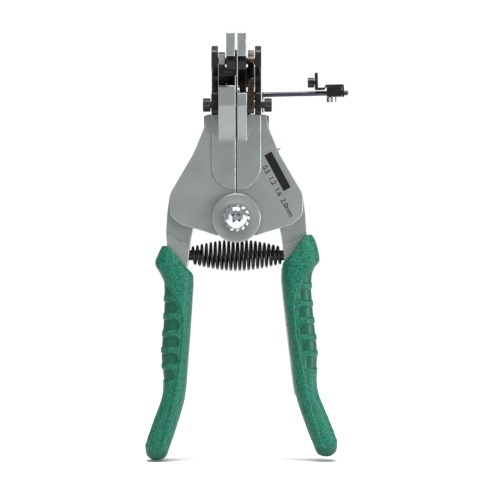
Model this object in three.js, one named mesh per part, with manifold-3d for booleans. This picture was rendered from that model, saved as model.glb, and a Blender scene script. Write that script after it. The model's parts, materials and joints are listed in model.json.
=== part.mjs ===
// Automatic wire stripper: two frame halves on one main pivot, two squeeze handles, a gripping
// jaw on the left, notched stripping blades on the right and a wire-length stop on a rod.
//
// Millimetres. +Z runs up the tool to the jaws, the front faces -Y, and the origin lies on the
// main pivot's axis at the flat back of its nut. Left and right are as seen from the front.
// Most pieces exist twice. They are built for the right side, with u as the distance from the
// centre plane, and mirrored for the left.

import * as THREE from 'three';
import { mergeVertices } from 'three/addons/utils/BufferGeometryUtils.js';
import Module from 'manifold-3d';

const wasm = await Module();
wasm.setup();

// ---------------------------------------------------------------- driving dimensions

const clearance = 0.3;          // between any two touching pieces
const seamHalf = 0.25;          // half the gap between the two frame halves
const roundSides = 24;

// Layers from back to front, as thicknesses
const nutFlange = 2.5;
const backPlateDepth = 3.2;
const tangDepth = 7.7;
const frontPlateDepth = 3.7;
const padRise = 0.5;            // raised pad on the front of the frame
const capDepth = 2.0;

const backPlateBack = -nutFlange - clearance;
const backPlateFront = backPlateBack - backPlateDepth;
const tangBack = backPlateFront - clearance;
const tangFront = tangBack - tangDepth;
const frameBack = tangFront - clearance;
const frameFace = frameBack - frontPlateDepth;
const capBack = frameFace - padRise - clearance;
const capFace = capBack - capDepth;

// Main pivot
const eyeRadius = 8.4;          // half-lapped eyes of plates and tangs
const sleeveRadius = 4.7;
const boltRadius = 2.5;
const boltHeadRadius = 4.65;
const boltHeadHeight = 3.1;
const boltEnd = 1 - nutFlange;  // inside the nut
const washerRadius = 5.6;
const washerDepth = 0.8;
const washerTeeth = 13;
const capRadius = 10.3;
const nutRadius = 9.0;

// Frame halves
const frameTop = 43.5;          // top edge of the front plate
const frameTopHalf = 12.8;      // half width there
const frameHipHalf = 28.2;      // half width at the widest place
const frameHipHeight = 9.6;
const backPlateTopHalf = 13.8;
const padHalf = 10.4;           // raised pad
const padEndHeight = 22;        // centre of its round end
const webIn = 8.5;              // block between the front and back plates
const webOut = 12.5;
const webLow = 20;
const webHigh = 42;

// Lower jaws and the jaw pins that the upper jaws turn on
const jawFace = frameFace - 8;  // foremost face of the lower jaws
const jawRear = tangFront + 1.6;   // rear end of the mouth floor
const jawUnderside = 44.5;
const jawFaceLow = 46.6;        // where the front face turns into the slope
const slopeEnd = 33.6;
const gripFloor = 55.1;         // floor of the gripping mouth, left
const bladeSideTop = 52.0;      // top of the right lower jaw
const leftJawOut = 7.5;
const rightJawOut = 4.5;
const rightJawIn = 0.4;
const bridgeDepth = 1.8;        // bridge from the right lower jaw to its lug
const toothPitch = 0.75;
const toothCount = 5;
const pinY = tangBack - 0.7;
const pinZ = 52;
const pinRadius = 1.9;
const hubRadius = 4.1;
const lugRadius = 4.2;
const lugIn = 4.7;
const lugOut = 7.4;

// Upper jaws: opened by this angle at rest
const openAngle = THREE.MathUtils.degToRad(18);
const beakIn = 0.5;
const beakOut = 4.2;
const hubIn = 1.3;
const tailFront = pinY - 2.2;    // tail that the cam nose pushes
const tailBack = pinY + 0.6;
const beakTop = 77.5;
const beakEdge = 67.5;          // lower front edge
const beakFace = jawFace + 1;
const insertIn = 4.8;           // gripper and blades, beside the beak
const insertOut = 7.5;
const cheekIn = 7.8;
const cheekOut = 10.5;
const cheekSplit = 52.4;        // top of the lower cheeks
const cheekBottom = 43.8;
const cutLine = 58.6;           // cutting edge of the lower blade
const bladeBevel = 1.9;
const notchRadii = [0.45, 0.7, 0.9, 1.1];
const notchPitch = 3.2;

// Screws
const capScrewHeadRadius = 2.75;
const capScrewHead = 3.2;
const capScrewRadius = 1.45;
const capScrewHole = capScrewRadius + clearance;
const cheekScrewY = frameFace - 0.6;
const cheekScrewZ = 47.4;
const jawScrewY = beakFace + 9.5;   // jaws closed
const jawScrewZ = 64.5;

// Handles
const grips = {
  left: { lean: 0, earRise: 0 },
  right: { lean: 2.5, earRise: 3.4 },
};
const noseIn = 0.45;            // cam nose that closes the upper jaw
const noseOut = 2.3;
const noseTop = 43;
const noseFront = tangFront + clearance;
const noseBack = noseFront + 3.1;

// Barrel spring between the handles
const springHeight = -15.7;
const springHalf = 18.9;
const springEndRadius = 3.3;    // to the wire's centre
const springMidRadius = 6.3;
const springWire = 0.55;
const springTurns = 20;
const springSteps = 9;
const pegRadius = 2.2;
const pegLength = 5;

// Wire-length stop
const rodTilt = THREE.MathUtils.degToRad(1.25);
const rodEnd = 46.9;
const rodHeight = 51.7;
const rodRadius = 1.0;
const rodY = cheekScrewY;
const loopDepth = 0.6;
const stopLeft = 38.0;          // clamp block
const stopRight = 44.2;
const stopDepth = 5.2;
const stopDown = 1.5;           // block below and above the rod's axis
const stopUp = 2.4;
const stopPlateX = 33.1;
const stopPlateDepth = 1.2;
const stopPlateTop = 8.6;       // above the rod's axis
const stopPadLength = 2.7;
const stopPadRadius = 2.1;
const lockScrewX = 39.9;
const lockScrewRadius = 1.3;

// ---------------------------------------------------------------- shape helpers

/** Closed manifold solid of a three.js geometry. */
function toSolid(geometry) {
  const bare = geometry.clone();
  bare.deleteAttribute('normal');
  bare.deleteAttribute('uv');
  const merged = mergeVertices(bare, 1e-4);
  const index = merged.index.array;
  const triVerts = [];
  for (let i = 0; i < index.length; i += 3) {
    const [a, b, c] = [index[i], index[i + 1], index[i + 2]];
    if (a !== b && b !== c && c !== a) triVerts.push(a, b, c);
  }
  return new wasm.Manifold(new wasm.Mesh({
    numProp: 3,
    vertProperties: new Float32Array(merged.attributes.position.array),
    triVerts: new Uint32Array(triVerts),
  }));
}

/** three.js geometry of a manifold solid. */
function toGeometry(solid) {
  const mesh = solid.getMesh();
  const geometry = new THREE.BufferGeometry();
  geometry.setAttribute('position', new THREE.BufferAttribute(mesh.vertProperties, 3));
  geometry.setIndex(new THREE.BufferAttribute(mesh.triVerts, 1));
  return geometry;
}

function join(first, ...others) {
  return toGeometry(others.reduce((sum, part) => sum.add(toSolid(part)), toSolid(first)));
}

function cut(first, ...tools) {
  return toGeometry(tools.reduce((rest, tool) => rest.subtract(toSolid(tool)), toSolid(first)));
}

function common(first, second) {
  return toGeometry(toSolid(first).intersect(toSolid(second)));
}

/** Outline through corners [a, b] or [a, b, r], with the corners that have an r rounded by it. */
function outline(corners, steps = 4) {
  const points = [];
  corners.forEach(([a, b, radius], index) => {
    const corner = new THREE.Vector2(a, b);
    if (!radius) {
      points.push(corner);
      return;
    }
    const count = corners.length;
    const before = new THREE.Vector2(...corners[(index + count - 1) % count]).sub(corner);
    const after = new THREE.Vector2(...corners[(index + 1) % count]).sub(corner);
    const half = Math.acos(before.dot(after) / (before.length() * after.length())) / 2;
    const limit = 0.48 * Math.min(before.length(), after.length());
    const setback = Math.min(radius / Math.tan(half), limit);
    const start = corner.clone().add(before.setLength(setback));
    const end = corner.clone().add(after.setLength(setback));
    const curve = new THREE.QuadraticBezierCurve(start, corner, end);
    points.push(...curve.getPoints(steps));
  });
  return new THREE.Shape(points);
}

/** Flat plate with its outline in X and Z, from Y = back forwards to Y = front. */
function plate(corners, back, front, steps) {
  const shape = outline(corners, steps);
  const geometry = new THREE.ExtrudeGeometry(shape, { depth: back - front, bevelEnabled: false });
  geometry.rotateX(Math.PI / 2);
  geometry.translate(0, back, 0);
  return geometry;
}

/** Bar with its outline in Y and Z, from X = low to X = high. */
function bar(corners, low, high, steps) {
  const shape = outline(corners, steps);
  const geometry = new THREE.ExtrudeGeometry(shape, { depth: high - low, bevelEnabled: false });
  const turn = new THREE.Matrix4().makeBasis(
    new THREE.Vector3(0, 1, 0), new THREE.Vector3(0, 0, 1), new THREE.Vector3(1, 0, 0));
  geometry.applyMatrix4(turn);
  geometry.translate(low, 0, 0);
  return geometry;
}

function block(x0, x1, y0, y1, z0, z1) {
  const geometry = new THREE.BoxGeometry(Math.abs(x1 - x0), Math.abs(y1 - y0), Math.abs(z1 - z0));
  geometry.translate((x0 + x1) / 2, (y0 + y1) / 2, (z0 + z1) / 2);
  return geometry;
}

/** Round piece along Y, from Y = back forwards to Y = front. */
function roundY(radius, back, front, x = 0, z = 0, sides = roundSides) {
  const geometry = new THREE.CylinderGeometry(radius, radius, back - front, sides);
  geometry.translate(x, (back + front) / 2, z);
  return geometry;
}

/** Round piece along X, from X = low to X = high. */
function roundX(radius, low, high, y, z, sides = roundSides) {
  const geometry = new THREE.CylinderGeometry(radius, radius, high - low, sides);
  geometry.rotateZ(Math.PI / 2);
  geometry.translate((low + high) / 2, y, z);
  return geometry;
}

/** Round piece along Z, from Z = low to Z = high. */
function roundZ(radius, low, high, x, y, sides = roundSides) {
  const geometry = new THREE.CylinderGeometry(radius, radius, high - low, sides);
  geometry.rotateX(Math.PI / 2);
  geometry.translate(x, y, (low + high) / 2);
  return geometry;
}

/** Body of revolution about the X axis; profile points are [x, radius]. */
function spunX(profile, y, z, sides = roundSides) {
  const points = profile.map(([x, radius]) => new THREE.Vector2(radius, x));
  const geometry = new THREE.LatheGeometry(points, sides);
  geometry.rotateZ(-Math.PI / 2);
  geometry.translate(0, y, z);
  return geometry;
}

/** The same geometry on the left side. */
function mirrored(geometry) {
  const copy = toGeometry(toSolid(geometry));
  copy.scale(-1, 1, 1);
  const index = copy.index.array;
  for (let i = 0; i < index.length; i += 3) {
    [index[i], index[i + 1]] = [index[i + 1], index[i]];
  }
  return copy;
}

/** A point [y, z] of the closed upper jaw, turned to where it is with the jaw open. */
function opened([y, z, radius]) {
  const dy = y - pinY;
  const dz = z - pinZ;
  const turnedY = pinY + dy * Math.cos(openAngle) + dz * Math.sin(openAngle);
  const turnedZ = pinZ - dy * Math.sin(openAngle) + dz * Math.cos(openAngle);
  return radius ? [turnedY, turnedZ, radius] : [turnedY, turnedZ];
}

/** A geometry of the closed upper jaw, turned open about the jaw pin. */
function turnedOpen(geometry) {
  const copy = geometry.clone();
  copy.translate(0, -pinY, -pinZ);
  copy.rotateX(-openAngle);
  copy.translate(0, pinY, pinZ);
  return copy;
}

/** Column with its outline in X and Y, from Z = low to Z = high. */
function column(corners, low, high) {
  const shape = outline(corners);
  const geometry = new THREE.ExtrudeGeometry(shape, { depth: high - low, bevelEnabled: false });
  geometry.translate(0, 0, low);
  return geometry;
}

/** Body of revolution about the Y axis; profile points are [y, radius], y rising. */
function spunY(profile, sides = roundSides) {
  return new THREE.LatheGeometry(profile.map(([y, radius]) => new THREE.Vector2(radius, y)), sides);
}

/**
 * Gives a plate or a tang its eye on the main pivot. The two eyes of a layer are half-lapped: the
 * left one is at the back and the right one in front.
 */
function withEye(geometry, back, front, isRight) {
  const middle = (back + front) / 2;
  const ownBack = isRight ? middle - clearance / 2 : back;
  const ownFront = isRight ? front : middle + clearance / 2;
  const past = clearance;
  const reliefBack = isRight ? back + past : ownFront;
  const reliefFront = isRight ? ownBack : front - past;
  const relieved = cut(geometry, roundY(eyeRadius + clearance, reliefBack, reliefFront));
  const eye = roundY(eyeRadius, ownBack, ownFront);
  const bore = roundY(sleeveRadius + clearance, back + 1, front - 1);
  return cut(join(relieved, eye), bore);
}

/** Socket-head cap screw along X: shoulder under its head, tip at the end of its shank. */
function capScrew(shoulder, tip, y, z) {
  const head = roundX(capScrewHeadRadius, shoulder, shoulder + capScrewHead, y, z);
  const shank = roundX(capScrewRadius, tip, shoulder + clearance, y, z, 16);
  const socket = roundX(1.45, shoulder + 1.3, shoulder + capScrewHead + 1, y, z, 6);
  return cut(join(head, shank), socket);
}

// ---------------------------------------------------------------- main pivot

const headBase = capFace - clearance - washerDepth - clearance;
const boreRadius = boltRadius + clearance;
const nutBoss = backPlateFront + clearance / 2;

function pivotBolt() {
  const top = headBase - boltHeadHeight;
  const body = spunY([
    [top, 0], [top, 0.45 * boltHeadRadius], [top + 0.35, 0.72 * boltHeadRadius],
    [top + 1.0, 0.92 * boltHeadRadius], [top + 1.9, boltHeadRadius], [headBase, boltHeadRadius],
    [headBase, boltRadius], [boltEnd, boltRadius], [boltEnd, 0],
  ]);
  const slot = 0.6 * boltHeadRadius;
  const recess = join(
    block(-slot, slot, top - 1, top + 1.6, -0.55, 0.55),
    block(-0.55, 0.55, top - 1, top + 1.6, -slot, slot));
  return cut(body, recess);
}

function toothedWasher() {
  const corners = [];
  for (let tooth = 0; tooth < washerTeeth; tooth += 1) {
    [[0, 0.83], [0.3, 1], [0.62, 1], [0.78, 0.83]].forEach(([part, reach]) => {
      const angle = 2 * Math.PI * (tooth + part) / washerTeeth;
      corners.push([reach * washerRadius * Math.cos(angle), reach * washerRadius * Math.sin(angle)]);
    });
  }
  const back = capFace - clearance;
  const ring = plate(corners, back, back - washerDepth);
  return cut(ring, roundY(boreRadius, back + 1, back - washerDepth - 1));
}

function pivotCap() {
  const chamfer = 0.5;
  const disc = spunY([
    [capFace, 0], [capFace, capRadius - chamfer], [capFace + chamfer, capRadius],
    [capBack, capRadius], [capBack, 0],
  ], 48);
  return cut(disc, roundY(boreRadius, capBack + 1, capFace - 1));
}

function pivotSleeve() {
  const back = nutBoss - clearance;
  const front = capBack + clearance;
  return cut(roundY(sleeveRadius, back, front), roundY(boreRadius, back + 1, front - 1));
}

function pivotNut() {
  const body = spunY([
    [nutBoss, 0], [nutBoss, sleeveRadius], [-nutFlange, sleeveRadius], [-nutFlange, nutRadius],
    [-0.6, nutRadius], [0, nutRadius - 0.6], [0, 0],
  ], 36);
  return cut(body, roundY(boreRadius, -1.2, nutBoss - 1));
}

// ---------------------------------------------------------------- frame halves

const backScrews = [[10.5, 24.5], [10.5, 37.5]];   // [u, z]
const springRivet = [4.7, 28.5];
const rivetRadius = 0.6;
const leafHalf = 1.5;

function frontOutline() {
  return [
    [seamHalf, frameTop], [frameTopHalf, frameTop, 1.4], [frameTopHalf + 0.9, 37.5, 10],
    [17.9, 27.3, 30], [frameHipHalf, frameHipHeight, 8], [frameHipHalf - 0.2, 1.2, 5],
    [23.5, -2.7, 6], [13, -5.8, 12], [8, -7.5], [5.5, -5], [seamHalf, 0],
  ];
}

function backOutline() {
  return [
    [seamHalf, frameTop + 0.3], [backPlateTopHalf, frameTop + 0.3, 0.6], [backPlateTopHalf, 38.6],
    [17.4, 27.3, 30], [frameHipHalf - 1, frameHipHeight, 8], [frameHipHalf - 1.2, 1.5, 5],
    [22.5, -2.2, 6], [8, -4], [5.5, -3], [seamHalf, 0],
  ];
}

/** Raised pad of the front face, with its half-round end. */
function frontPad() {
  const full = join(
    block(-padHalf, padHalf, frameFace + 0.5, frameFace - padRise, padEndHeight, frameTop),
    roundY(padHalf, frameFace + 0.5, frameFace - padRise, 0, padEndHeight, 64));
  return common(full, block(seamHalf, 40, 0, -40, 0, 100));
}

/** Lower jaw: flat front face, long slope back into the frame, and the mouth's floor on top. */
function lowerJaw(jawIn, jawOut, top) {
  const face = frameFace - padRise;
  return bar([
    [frameBack, slopeEnd - 3], [face + 0.2, slopeEnd - 3.2], [face - 0.5, slopeEnd, 2],
    [jawFace, jawFaceLow, 0.8], [jawFace, top, 0.5], [jawRear, top],
    [jawRear, jawUnderside], [frameBack, jawUnderside],
  ], jawIn, jawOut);
}

/** Lug behind the lower jaw that holds the jaw pin, with the bridge that carries it. */
function pinLug(jawIn) {
  const bridge = block(jawIn, lugOut, jawRear - bridgeDepth, jawRear, jawUnderside, 50);
  const arm = bar([
    [jawRear - 0.5, jawUnderside], [jawRear - 0.5, 50], [pinY, 50], [pinY, jawUnderside, 1],
  ], lugIn, lugOut);
  const ring = roundX(lugRadius, lugIn, lugOut, pinY, pinZ);
  return join(bridge, arm, ring);
}

/** Sharp grooves along Y in the gripping face, upwards or downwards from it. */
function gripGrooves(height, upwards, back, front) {
  const depth = upwards ? 0.4 : -0.4;
  const grooves = [];
  for (let tooth = 0; tooth < toothCount; tooth += 1) {
    const low = leftJawOut - (tooth + 1) * toothPitch;
    grooves.push(plate([
      [low, height - depth / 4], [low + toothPitch, height - depth / 4],
      [low + toothPitch / 2, height + depth],
    ], back, front));
  }
  return grooves;
}

function frameHalf(isRight) {
  const jawIn = isRight ? rightJawIn : seamHalf;
  const jawOut = isRight ? rightJawOut : leftJawOut;
  const top = isRight ? bladeSideTop : gripFloor;
  const web = block(webIn, webOut, backPlateFront - clearance, frameBack - 1, webLow, webHigh);
  const front = plate(frontOutline(), frameBack, frameFace);
  const casting = withEye(
    join(front, frontPad(), web, lowerJaw(jawIn, jawOut, top), pinLug(jawIn)),
    frameBack, frameFace, isRight);
  const holes = backScrews.map(([u, z]) => roundY(1.5, 0, tangBack - 5, u, z, 16));
  holes.push(roundX(capScrewHole, jawIn + 0.9, 20, cheekScrewY, cheekScrewZ, 20));
  holes.push(roundX(pinRadius + clearance, 0, 20, pinY, pinZ));
  if (!isRight) holes.push(...gripGrooves(gripFloor, false, jawRear + 1, jawFace - 1));
  return cut(casting, ...holes);
}

function backPlate(isRight) {
  const sheet = plate(backOutline(), backPlateBack, backPlateFront);
  const holes = backScrews.map(([u, z]) => roundY(1.5, 0, tangBack, u, z, 16));
  holes.push(roundY(rivetRadius + clearance, 0, tangBack, ...springRivet, 12));
  return cut(withEye(sheet, backPlateBack, backPlateFront, isRight), ...holes);
}

/** Pan-head screw from the back through the back plate into the frame's web. */
function backScrew([u, z]) {
  const headFront = backPlateBack + clearance;
  const head = roundY(2.4, -0.6, headFront, u, z, 24);
  const shank = roundY(1.2, headFront + 0.2, tangBack - 4.5, u, z, 16);
  const slot = block(u - 3, u + 3, 0, -1.3, z - 0.35, z + 0.35);
  return cut(join(head, shank), slot);
}

/** Black plate outside the lower jaw, notched round the hub that turns beside it. */
function lowerCheek() {
  const behind = pinZ - hubRadius - 2 * clearance;
  const sheet = bar([
    [jawFace + 4.5, cheekBottom, 1.2], [jawFace + 4.5, cheekSplit, 0.8], [jawRear, cheekSplit],
    [jawRear, behind], [-3.4, behind, 0.8], [-3.4, cheekBottom, 1.2],
  ], cheekIn, cheekOut);
  return cut(sheet, roundX(capScrewHole, 0, 20, cheekScrewY, cheekScrewZ, 20));
}

/** Pin of an upper jaw: a thin head inside, pressed through the lug, with a groove for its clip. */
function jawPin() {
  return spunX([
    [0.5, 0], [0.5, 2.8], [hubIn - clearance, 2.8], [hubIn - clearance, pinRadius],
    [9.5, pinRadius], [9.5, 1.2], [10.1, 1.2], [10.1, pinRadius], [10.35, pinRadius], [10.35, 0],
  ], pinY, pinZ);
}

/** Retaining clip in the pin's groove, sunk in the upper cheek. */
function pinClip() {
  const ring = roundX(3.0, 9.6, 10.0, pinY, pinZ);
  const gap = block(9, 11, pinY - 1.25, pinY + 1.25, pinZ - 5, pinZ);
  return cut(ring, roundX(1.45, 9, 11, pinY, pinZ, 20), gap);
}

/** Leaf spring that pushes the tail of the upper jaw forwards and so opens the jaw. */
function jawSpring() {
  const back = tangBack;
  const leaf = bar([
    [back, 26], [back, 33, 6], [pinY - 1.75, 42.1], [pinY - 2.1, 41.95], [back - 0.4, 33.1, 6],
    [back - 0.4, 26],
  ], springRivet[0] - leafHalf, springRivet[0] + leafHalf);
  return cut(leaf, roundY(rivetRadius + clearance, 0, back - 2, ...springRivet, 12));
}

function rivet() {
  const [u, z] = springRivet;
  const leafFront = tangBack - 0.4 - clearance;
  const shank = roundY(rivetRadius, backPlateBack, leafFront - 0.2, u, z, 12);
  return join(shank, roundY(2 * rivetRadius, leafFront, leafFront - 0.6, u, z, 12));
}

// ---------------------------------------------------------------- upper jaws

const insertGap = clearance;    // insert to the lower jaw's floor or edge, jaws closed
const footTop = gripFloor + insertGap + 2.5;
const tailIn = noseOut + clearance;
const tailOut = 6.1;
const tailEnd = 41;

/** Clearance hole and countersink for the jaw screw. */
function jawScrewHole(extra) {
  return turnedOpen(spunX([
    [1.8, 0], [1.8, capScrewRadius + extra], [cheekOut - 1.6, capScrewRadius + extra],
    [cheekOut - 0.15, 2.6 + extra], [cheekOut + 1, 2.6 + extra], [cheekOut + 1, 0],
  ], jawScrewY, jawScrewZ, 24));
}

/** Countersunk socket screw that holds cheek, insert and beak together. */
function jawScrew() {
  const body = spunX([
    [2.2, 0], [2.2, capScrewRadius], [cheekOut - 1.6, capScrewRadius],
    [cheekOut - 0.15, 2.6], [cheekOut - 0.15, 0],
  ], jawScrewY, jawScrewZ, 24);
  const socket = roundX(1.1, cheekOut - 1.4, cheekOut + 1, jawScrewY, jawScrewZ, 6);
  return turnedOpen(cut(body, socket));
}

/** Beak of an upper jaw: it arches over the mouth, and its tail reaches down to the cam nose. */
function upperJaw() {
  const arch = bar([
    [beakFace, beakEdge, 0.5], [beakFace, beakTop, 0.9], [beakFace + 5.5, beakTop, 4],
    [pinY - 3.5, 73, 9], [pinY + 3.7, 63, 9],
    [pinY + 4.1, pinZ - 1.5, 3], [pinY, pinZ - hubRadius - 0.1, 3],
    [pinY - 4.1, pinZ - 1.5, 3], [pinY - 4.1, pinZ + 1.5, 2], opened([pinY - 4.5, footTop + clearance]),
    opened([beakFace + 3.5, footTop + clearance]), [beakFace + 4.2, 66.2, 4],
  ], beakIn, beakOut);
  const tail = turnedOpen(bar([
    [tailFront, tailEnd], [tailBack, tailEnd], [tailBack, pinZ - 2], [tailFront, pinZ - 2],
  ], tailIn, beakOut));
  const foot = turnedOpen(bar([
    [tailFront, tailEnd], [tailBack, tailEnd], [tailBack, tailEnd + 2.1], [tailFront, tailEnd + 2.1],
  ], tailIn, tailOut));
  const pinHead = roundX(3.2, 0, hubIn, pinY, pinZ);
  const ramp = column([
    [noseOut - 0.3, noseBack + 2.2], [tailOut + 0.5, noseFront + 0.7],
    [tailOut + 0.5, noseFront - 1.3], [noseOut - 0.3, noseFront - 1.3],
  ], tailEnd - 3, noseTop + 0.9);
  const hub = roundX(hubRadius + 1.2, 0, hubIn, pinY, pinZ);
  return cut(join(arch, tail, foot), ramp, pinHead, hub,
    roundX(pinRadius + clearance, 0, 20, pinY, pinZ), jawScrewHole(clearance));
}

/** Dark steel gripper: a plate beside the beak and a toothed foot under it. */
function upperGripper() {
  const low = gripFloor + insertGap;
  const side = bar([
    [beakFace + 4, low, 0.8], [beakFace + 3, 60, 2],
    [beakFace + 4.5, 66.5, 3], [beakFace + 10, 68.6, 3], [pinY - 3.6, 66.5, 3],
    [pinY - 2.6, 60, 2], [jawRear + 0.1, low],
  ], insertIn, insertOut);
  const foot = bar([
    [beakFace + 4, low, 0.8], [beakFace + 3.7, footTop],
    [jawRear + 0.4, footTop], [jawRear + 0.1, low],
  ], beakIn, insertOut);
  const grooves = gripGrooves(low, true, jawRear + 1, jawFace - 1);
  return cut(turnedOpen(cut(join(side, foot), ...grooves)), jawScrewHole(clearance));
}

/** Half-round notches in both blades, one for each wire size, along the cutting edge. */
function wireNotches(height) {
  return notchRadii.map((radius, index) => {
    const y = beakFace + 2 + index * notchPitch;
    return roundX(radius, insertIn - 1, insertOut + 1, y, height, 14);
  });
}

/** Wedge that bevels a blade on the gripper's side; rise is up or down from its edge. */
function edgeBevel(height, rise) {
  const over = Math.sign(rise) * 0.3;
  return plate([
    [insertIn - 0.5, height - over], [insertOut - 0.15, height - over],
    [insertOut - 0.15, height], [insertIn, height + rise], [insertIn - 0.5, height + rise],
  ], -5, -35);
}

function upperBlade() {
  const edge = cutLine + insertGap;
  const body = bar([
    [jawFace, edge], [jawFace, edge + 2.3], [jawFace + 1.2, edge + 2.3],
    [jawFace + 1.2, edge + 4.6], [jawFace + 2.6, edge + 4.6],
    [jawFace + 3.4, 66.5, 1], [beakFace + 10, 68.6, 3], [pinY - 3.6, 66.5, 3], [pinY - 3.2, edge + 0.4],
  ], insertIn, insertOut);
  const shaped = cut(body, edgeBevel(edge, bladeBevel), ...wireNotches(edge));
  return cut(turnedOpen(shaped), jawScrewHole(clearance));
}

function lowerBlade() {
  const rear = jawRear - bridgeDepth - clearance;
  const body = bar([
    [jawFace + 1.5, cheekBottom + 0.2, 1.2],
    [jawFace + 1.5, cutLine], [rear, cutLine], [rear, cheekBottom + 0.2],
  ], insertIn, insertOut);
  return cut(body, edgeBevel(cutLine, -bladeBevel), ...wireNotches(cutLine),
    roundX(capScrewHole, 0, 20, cheekScrewY, cheekScrewZ, 20));
}

/** Black outer plate of an upper jaw; its hub turns on the far end of the jaw pin. */
function upperCheek() {
  const low = cutLine + 2 * clearance;
  const sheet = turnedOpen(bar([
    [beakFace + 3, low, 0.6], [beakFace + 2.5, 66.5, 2.5],
    [beakFace + 9, 71.8, 4], [pinY + 0.5, 67, 6], [pinY + 4, 58, 4],
    [pinY + 4.1, pinZ - 1.5, 3], [pinY, pinZ - hubRadius - 0.1, 3], [pinY - 4.1, pinZ - 1.5, 3],
    [pinY - 4.1, 57, 1.5], [jawRear - 0.2, low, 0.6],
  ], cheekIn, cheekOut));
  const clipSeat = roundX(3.4, 9.3, cheekOut + 1, pinY, pinZ);
  return cut(sheet, clipSeat, roundX(pinRadius + clearance, 0, 20, pinY, pinZ),
    jawScrewHole(clearance));
}

// ---------------------------------------------------------------- handles

/** A handle's corner, swung outwards about the main pivot by the handle's lean. */
function leaned([u, z, radius], lean) {
  const angle = THREE.MathUtils.degToRad(lean);
  const turnedU = u * Math.cos(angle) - z * Math.sin(angle);
  const turnedZ = u * Math.sin(angle) + z * Math.cos(angle);
  return radius ? [turnedU, turnedZ, radius] : [turnedU, turnedZ];
}

const tangInner = [[18.4, -4.4], [19.4, -9.5], [20.2, -17.5]];
const tangOuter = [[28.2, 9.5, 4], [29.2, 2, 10], [29.7, -6, 10]];

/** Core of a handle inside its grip, down the inner side and up the outer side. */
function coreCorners(lean, grow) {
  return [
    [20.9 - grow, -22], [21.6 - grow, -40], [23.0 - grow, -60], [24.3 - grow, -75, 20],
    [29.2 - grow, -91 - grow], [33.2 + grow, -92 - grow], [28.9 + grow, -75, 20],
    [28.0 + grow, -60], [27.8 + grow, -40], [28.2 + grow, -24],
  ].map((corner) => leaned(corner, lean));
}

function pegHole(radius) {
  const middle = (tangBack + tangFront) / 2;
  return roundX(radius, 10, 23.6 + clearance, middle, springHeight, 20);
}

/** Tang, core and cam nose of a handle in one piece. */
function handle(isRight, grip) {
  const body = plate([
    [4, 7], [9, 14.5], [18, 14.6, 6], ...tangOuter,
    ...coreCorners(grip.lean, 0).reverse(),
    ...[...tangInner].reverse(), [8, -4], [4, -3],
  ], tangBack, tangFront);
  const arm = plate([
    [noseIn, eyeRadius + 1.2], [noseIn, noseTop], [noseOut, noseTop], [noseOut, 38.5],
    [4.4, 35.5], [5.2, 20], [11, 14], [8, 6],
  ], noseBack, noseFront);
  return cut(withEye(join(body, arm), tangBack, tangFront, isRight), pegHole(pegRadius + clearance));
}

/**
 * Stations of a grip from its ear to its tip: [inner u, z], [outer u, z], half depth. The first
 * two form the ear, which reaches higher on one side.
 */
const gripStations = [
  [[20.4, -21.8], [31.2, -11.4], 6.8], [[18.6, -23.6], [33.6, -15.6], 8.0],
  [[18.2, -26.5], [33.9, -20.5], 8.5], [[18.4, -31], [31.3, -27.5], 8.5],
  [[19.2, -43.6], [31.3, -41], 8.5], [[20.4, -60], [32.3, -58], 8.5],
  [[21.8, -75.8], [31.4, -73], 8.3], [[25.3, -88.6], [35.6, -86], 8.0],
  [[28.2, -97], [38.4, -94.4], 7.6], [[29.6, -100.6], [38.2, -99.6], 6.6],
  [[31.4, -102.3], [36.4, -102.2], 4.2],
];
const gripRings = 18;
const gripSides = 16;

/** Edges of the grip as smooth curves through its stations; the curves' Y holds the half depth. */
function gripEdges(grip) {
  return [0, 1].map((edge) => new THREE.CatmullRomCurve3(gripStations.map((station, index) => {
    const [u, z] = leaned(station[edge], grip.lean);
    const rise = index < 2 ? grip.earRise : 0;
    return new THREE.Vector3(u, station[2], z + rise);
  })));
}

/** Closed mesh of rings; each ring is a rounded rectangle between the grip's two edges. */
function gripLoft(grip) {
  const middle = (tangBack + tangFront) / 2;
  const squareness = 0.72;
  const edges = gripEdges(grip);
  const positions = [];
  const index = [];
  for (let ring = 0; ring <= gripRings; ring += 1) {
    const [inner, outer] = edges.map((edge) => edge.getPoint(ring / gripRings));
    const centre = inner.clone().add(outer).multiplyScalar(0.5);
    const across = outer.clone().sub(inner).multiplyScalar(0.5);
    for (let side = 0; side < gripSides; side += 1) {
      const angle = 2 * Math.PI * side / gripSides;
      const [c, s] = [Math.cos(angle), Math.sin(angle)]
        .map((value) => Math.sign(value) * Math.abs(value) ** squareness);
      positions.push(centre.x + across.x * c, middle + inner.y * s, centre.z + across.z * c);
    }
  }
  const last = gripRings * gripSides;
  for (let ring = 0; ring < gripRings; ring += 1) {
    for (let side = 0; side < gripSides; side += 1) {
      const a = ring * gripSides + side;
      const b = ring * gripSides + (side + 1) % gripSides;
      index.push(a, b + gripSides, b, a, a + gripSides, b + gripSides);
    }
  }
  for (let side = 1; side < gripSides - 1; side += 1) {
    index.push(0, side, side + 1, last, last + side + 1, last + side);
  }
  const geometry = new THREE.BufferGeometry();
  geometry.setAttribute('position', new THREE.Float32BufferAttribute(positions, 3));
  geometry.setIndex(index);
  return geometry;
}

/** Grip with a pocket for the handle's core, open at the top. */
function gripBody(grip) {
  const pocket = plate([
    [19.4 - clearance, -8], [30, -4], [30, -13], ...coreCorners(grip.lean, clearance).reverse(),
    [20.2 - clearance, -17.5],
  ], tangBack + clearance, tangFront - clearance);
  return cut(gripLoft(grip), pocket);
}

function springPeg() {
  const middle = (tangBack + tangFront) / 2;
  return roundX(pegRadius, 19.4 - pegLength, 23.6, middle, springHeight, 20);
}

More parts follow.
